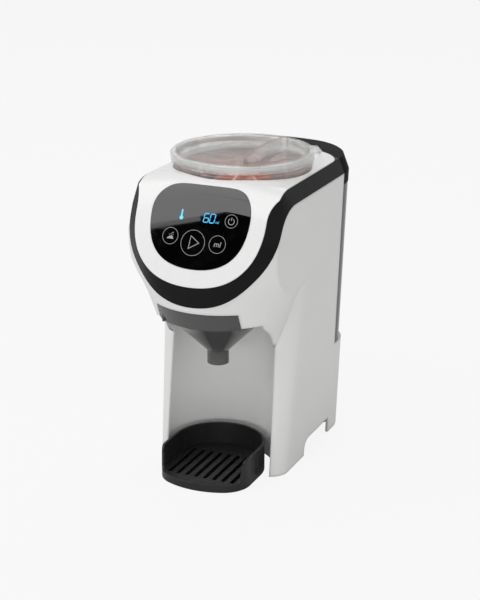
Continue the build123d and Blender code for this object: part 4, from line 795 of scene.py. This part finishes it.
key_letter_size, key_letter_drop = 7.4, 2.4
shown_x, shown_v, shown_size = 17.6, 23.0, 3.6
key_x, key_v = keys["units"][:2]
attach(unit_letters("units_print", key_x, key_v - key_letter_drop, key_letter_size, ink), "base")
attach(unit_letters("display_units", shown_x, shown_v, shown_size, cyan_light), "base")
print("letters set on the units key and in the display")

# %% [markdown]
# ## A plain studio
# The machine stands on a pale floor that runs on to the horizon. The floor and the world are the same
# near-white to the camera and in reflections, through the Light Path node, while the light that the
# world itself gives stays moderate, so that white plastic keeps its shading. A little of the floor's own
# shading is let through, and with it the machine's soft shadow.

# %% Floor
background = 0.955
floor_evenness = 0.93
floor_half, floor_drop = 9.0, 0.2 * mm
paper_light, paper_dark = (0.86, 0.86, 0.86), (0.85, 0.85, 0.85)
paper_rough = 0.8


def floor_material():
    material, tree, shader = start_material("Pale floor")
    texture = place(tree, moulded_grain, Scale=400.0)
    paper = blend_colours(tree, texture.outputs["Drift"], tone(paper_light), tone(paper_dark))
    connect(tree, shader, Base_Color=paper, Roughness=paper_rough)
    even = add(tree, "Emission", Color=tone((background, background, background)), Strength=1.0)
    seen = add(tree, "LightPath").outputs["Is Camera Ray"]
    share = math_node(tree, "MULTIPLY", seen, floor_evenness)
    mixed = add(tree, "MixShader", i0=share, i1=shader.outputs[0], i2=even.outputs[0])
    connect(tree, tree.nodes["Material Output"], Surface=mixed.outputs[0])
    return material


def flat_sheet(name, corners, material):
    """One four-sided face as an object of the studio."""
    data = bpy.data.meshes.new(name)
    data.from_pydata([tuple(corner) for corner in corners], [], [(0, 1, 2, 3)])
    data.materials.append(material)
    made = bpy.data.objects.new(name, data)
    bpy.context.scene.collection.objects.link(made)
    return made


corner_signs = [(-1, -1), (1, -1), (1, 1), (-1, 1)]
floor_corners = [(floor_half * across, floor_half * back, 0) for across, back in corner_signs]
floor = flat_sheet("floor", floor_corners, floor_material())
floor.location.z = -floor_drop
print("floor side in metres:", 2 * floor_half)

# %% World
ambient = 0.44
mirrored_share = 0.5


def studio_world():
    world = bpy.data.worlds.new("studio")
    world.use_nodes = True
    tree = world.node_tree
    rays = add(tree, "LightPath").outputs
    direct = math_node(tree, "MAXIMUM", rays["Is Camera Ray"], rays["Is Transmission Ray"])
    shiny = math_node(tree, "MULTIPLY", rays["Is Glossy Ray"], mirrored_share)
    level = remap(tree, math_node(tree, "MAXIMUM", direct, shiny), 0.0, 1.0, ambient, background)
    connect(tree, tree.nodes["Background"], Strength=level, Color=(1.0, 1.0, 1.0, 1.0))
    return world


bpy.context.scene.world = studio_world()
print("the world lights with", ambient, "and shows as", background)

# %% [markdown]
# ## Camera
# A long lens from the front right and a little above, as in a catalogue picture. Far away and narrow, it
# keeps the machine's upright lines nearly parallel.

# %% Camera
azimuth, elevation, distance = radians(24.33), radians(18.85), 1.5325
target = Vector((0, -0.0103, 0.1585))
lens, sensor, shift = 93.89, 36.0, 0.002

away = Vector((sin(azimuth) * cos(elevation), -cos(azimuth) * cos(elevation), sin(elevation)))
camera = bpy.data.objects.new("camera", bpy.data.cameras.new("camera"))
bpy.context.scene.collection.objects.link(camera)
camera.location = target + away * distance
camera.rotation_mode = "QUATERNION"
camera.rotation_quaternion = (-away).to_track_quat("-Z", "Y")
camera.data.sensor_width, camera.data.lens, camera.data.shift_x = sensor, lens, shift
bpy.context.scene.camera = camera
print("camera at", [round(value, 3) for value in camera.location])

# %% [markdown]
# ## Lamps
# The key light is a softbox at the front left. It is hung so that its mirror image in the touch panel
# ends on a slanting line across the display, which tells the eye that the panel is glass. To find where,
# the camera's line of sight to each end of that line is reflected in the panel, and the softbox's lower
# edge is put through both rays. A second softbox carries on from its top edge and hangs over the
# machine. A weak fill from the right, a low one from the front that reaches into the bay under the head,
# and a rim light from behind shape the side wall, the legs and the clear lid.

# %% Softbox
def softbox(name, centre, across, facing, width, height, power):
    """A rectangular lamp: across is the way its width runs and facing the way it shines."""
    lamp = bpy.data.lights.new(name, "AREA")
    lamp.shape, lamp.size, lamp.size_y = "RECTANGLE", width, height
    lamp.energy = power
    made = bpy.data.objects.new(name, lamp)
    bpy.context.scene.collection.objects.link(made)
    back = -facing.normalized()
    side = (across - across.dot(back) * back).normalized()
    axes = Matrix((side, back.cross(side), back)).transposed().to_4x4()
    made.matrix_world = Matrix.Translation(centre) @ axes
    made.visible_camera = False

# %% Where the panel mirrors a line of sight
panel_stands_off = 0.3


def reflected(x, v, reach):
    """Where a line of sight that bounces off the panel at this place is after that distance."""
    bounce_at = on_face(x, v, panel_stands_off)
    sight = (bounce_at - camera.location).normalized()
    return bounce_at + (sight - 2 * sight.dot(face_normal) * face_normal) * reach


print("seen in the panel's middle, 1 m off:", [round(value, 2) for value in reflected(0, 0, 1.0)])

# %% Key and overhead softboxes
line_left, line_right = (-48.5, 15.2), (47.3, 41.1)
reach, key_w, key_h, over_h = 1.6, 2.6, 1.1, 1.3
radiance = 1.15
over_way = Vector((0, 0.62, 0.30)).normalized()
over_shift = Vector((0.15, 0, 0))
aim = Vector((0, -0.03, 0.2))

edge_left, edge_right = reflected(*line_left, reach), reflected(*line_right, reach)
edge_way = (edge_right - edge_left).normalized()
middle = (edge_left + edge_right) / 2
toward = (face_origin - middle).normalized()
rise = edge_way.cross(toward)
rise = rise if rise.z > 0 else -rise
softbox("key", middle + rise * key_h / 2, edge_way, toward, key_w, key_h, radiance * pi * key_w * key_h)
over_at = middle + rise * key_h + over_way * over_h / 2 + over_shift
softbox("overhead", over_at, edge_way, aim - over_at, key_w, over_h, radiance * pi * key_w * over_h)
print("key softbox hangs at", [round(value, 2) for value in middle])

# %% Fill, low and rim lamps
sideways, backward = Vector((1, 0, 0)), Vector((0, 1, 0))
into_bay = Vector((0, -0.05, 0.1))
weak_lamps = {
    # name: where it hangs, what it shines at, which way its width runs, width, height, watts
    "fill": (Vector((1.7, -0.3, 0.8)), aim, backward, 1.6, 1.2, 3.5),
    "low front": (Vector((0.25, -1.6, 0.14)), into_bay, sideways, 1.2, 0.22, 4.0),
    "rim": (Vector((-0.4, 1.5, 1.3)), aim, sideways, 1.2, 0.6, 3.0),
}
for name, (hangs_at, shines_at, across, width, height, watts) in weak_lamps.items():
    softbox(name, hangs_at, across, shines_at - hangs_at, width, height, watts)
print("lamps:", len(bpy.data.lights))

# %% [markdown]
# ## A black flag under the softbox
# Black glass shows whatever is in front of it. Photographers hang a black cloth, a flag, next to the
# softbox, so that the rest of the panel stays black and the lamp's edge reads as a crisp line. Only
# reflections see this one.

# %% Black flag
flag_w, flag_h = 3.2, 1.1
half_way, drop = edge_way * flag_w / 2, rise * flag_h
flag_corners = [middle - half_way, middle + half_way, middle + half_way - drop, middle - half_way - drop]
black_cloth = plastic("Black cloth", (0.003, 0.003, 0.003), 1.0, grain=900, depth=0.2, specular=0.0)
flag = flat_sheet("black_flag", flag_corners, black_cloth)
flag.visible_camera = flag.visible_diffuse = flag.visible_shadow = flag.visible_transmission = False
bpy.context.scene.view_settings.view_transform = "Standard"
print("flag hangs below the line, in metres:", flag_h)
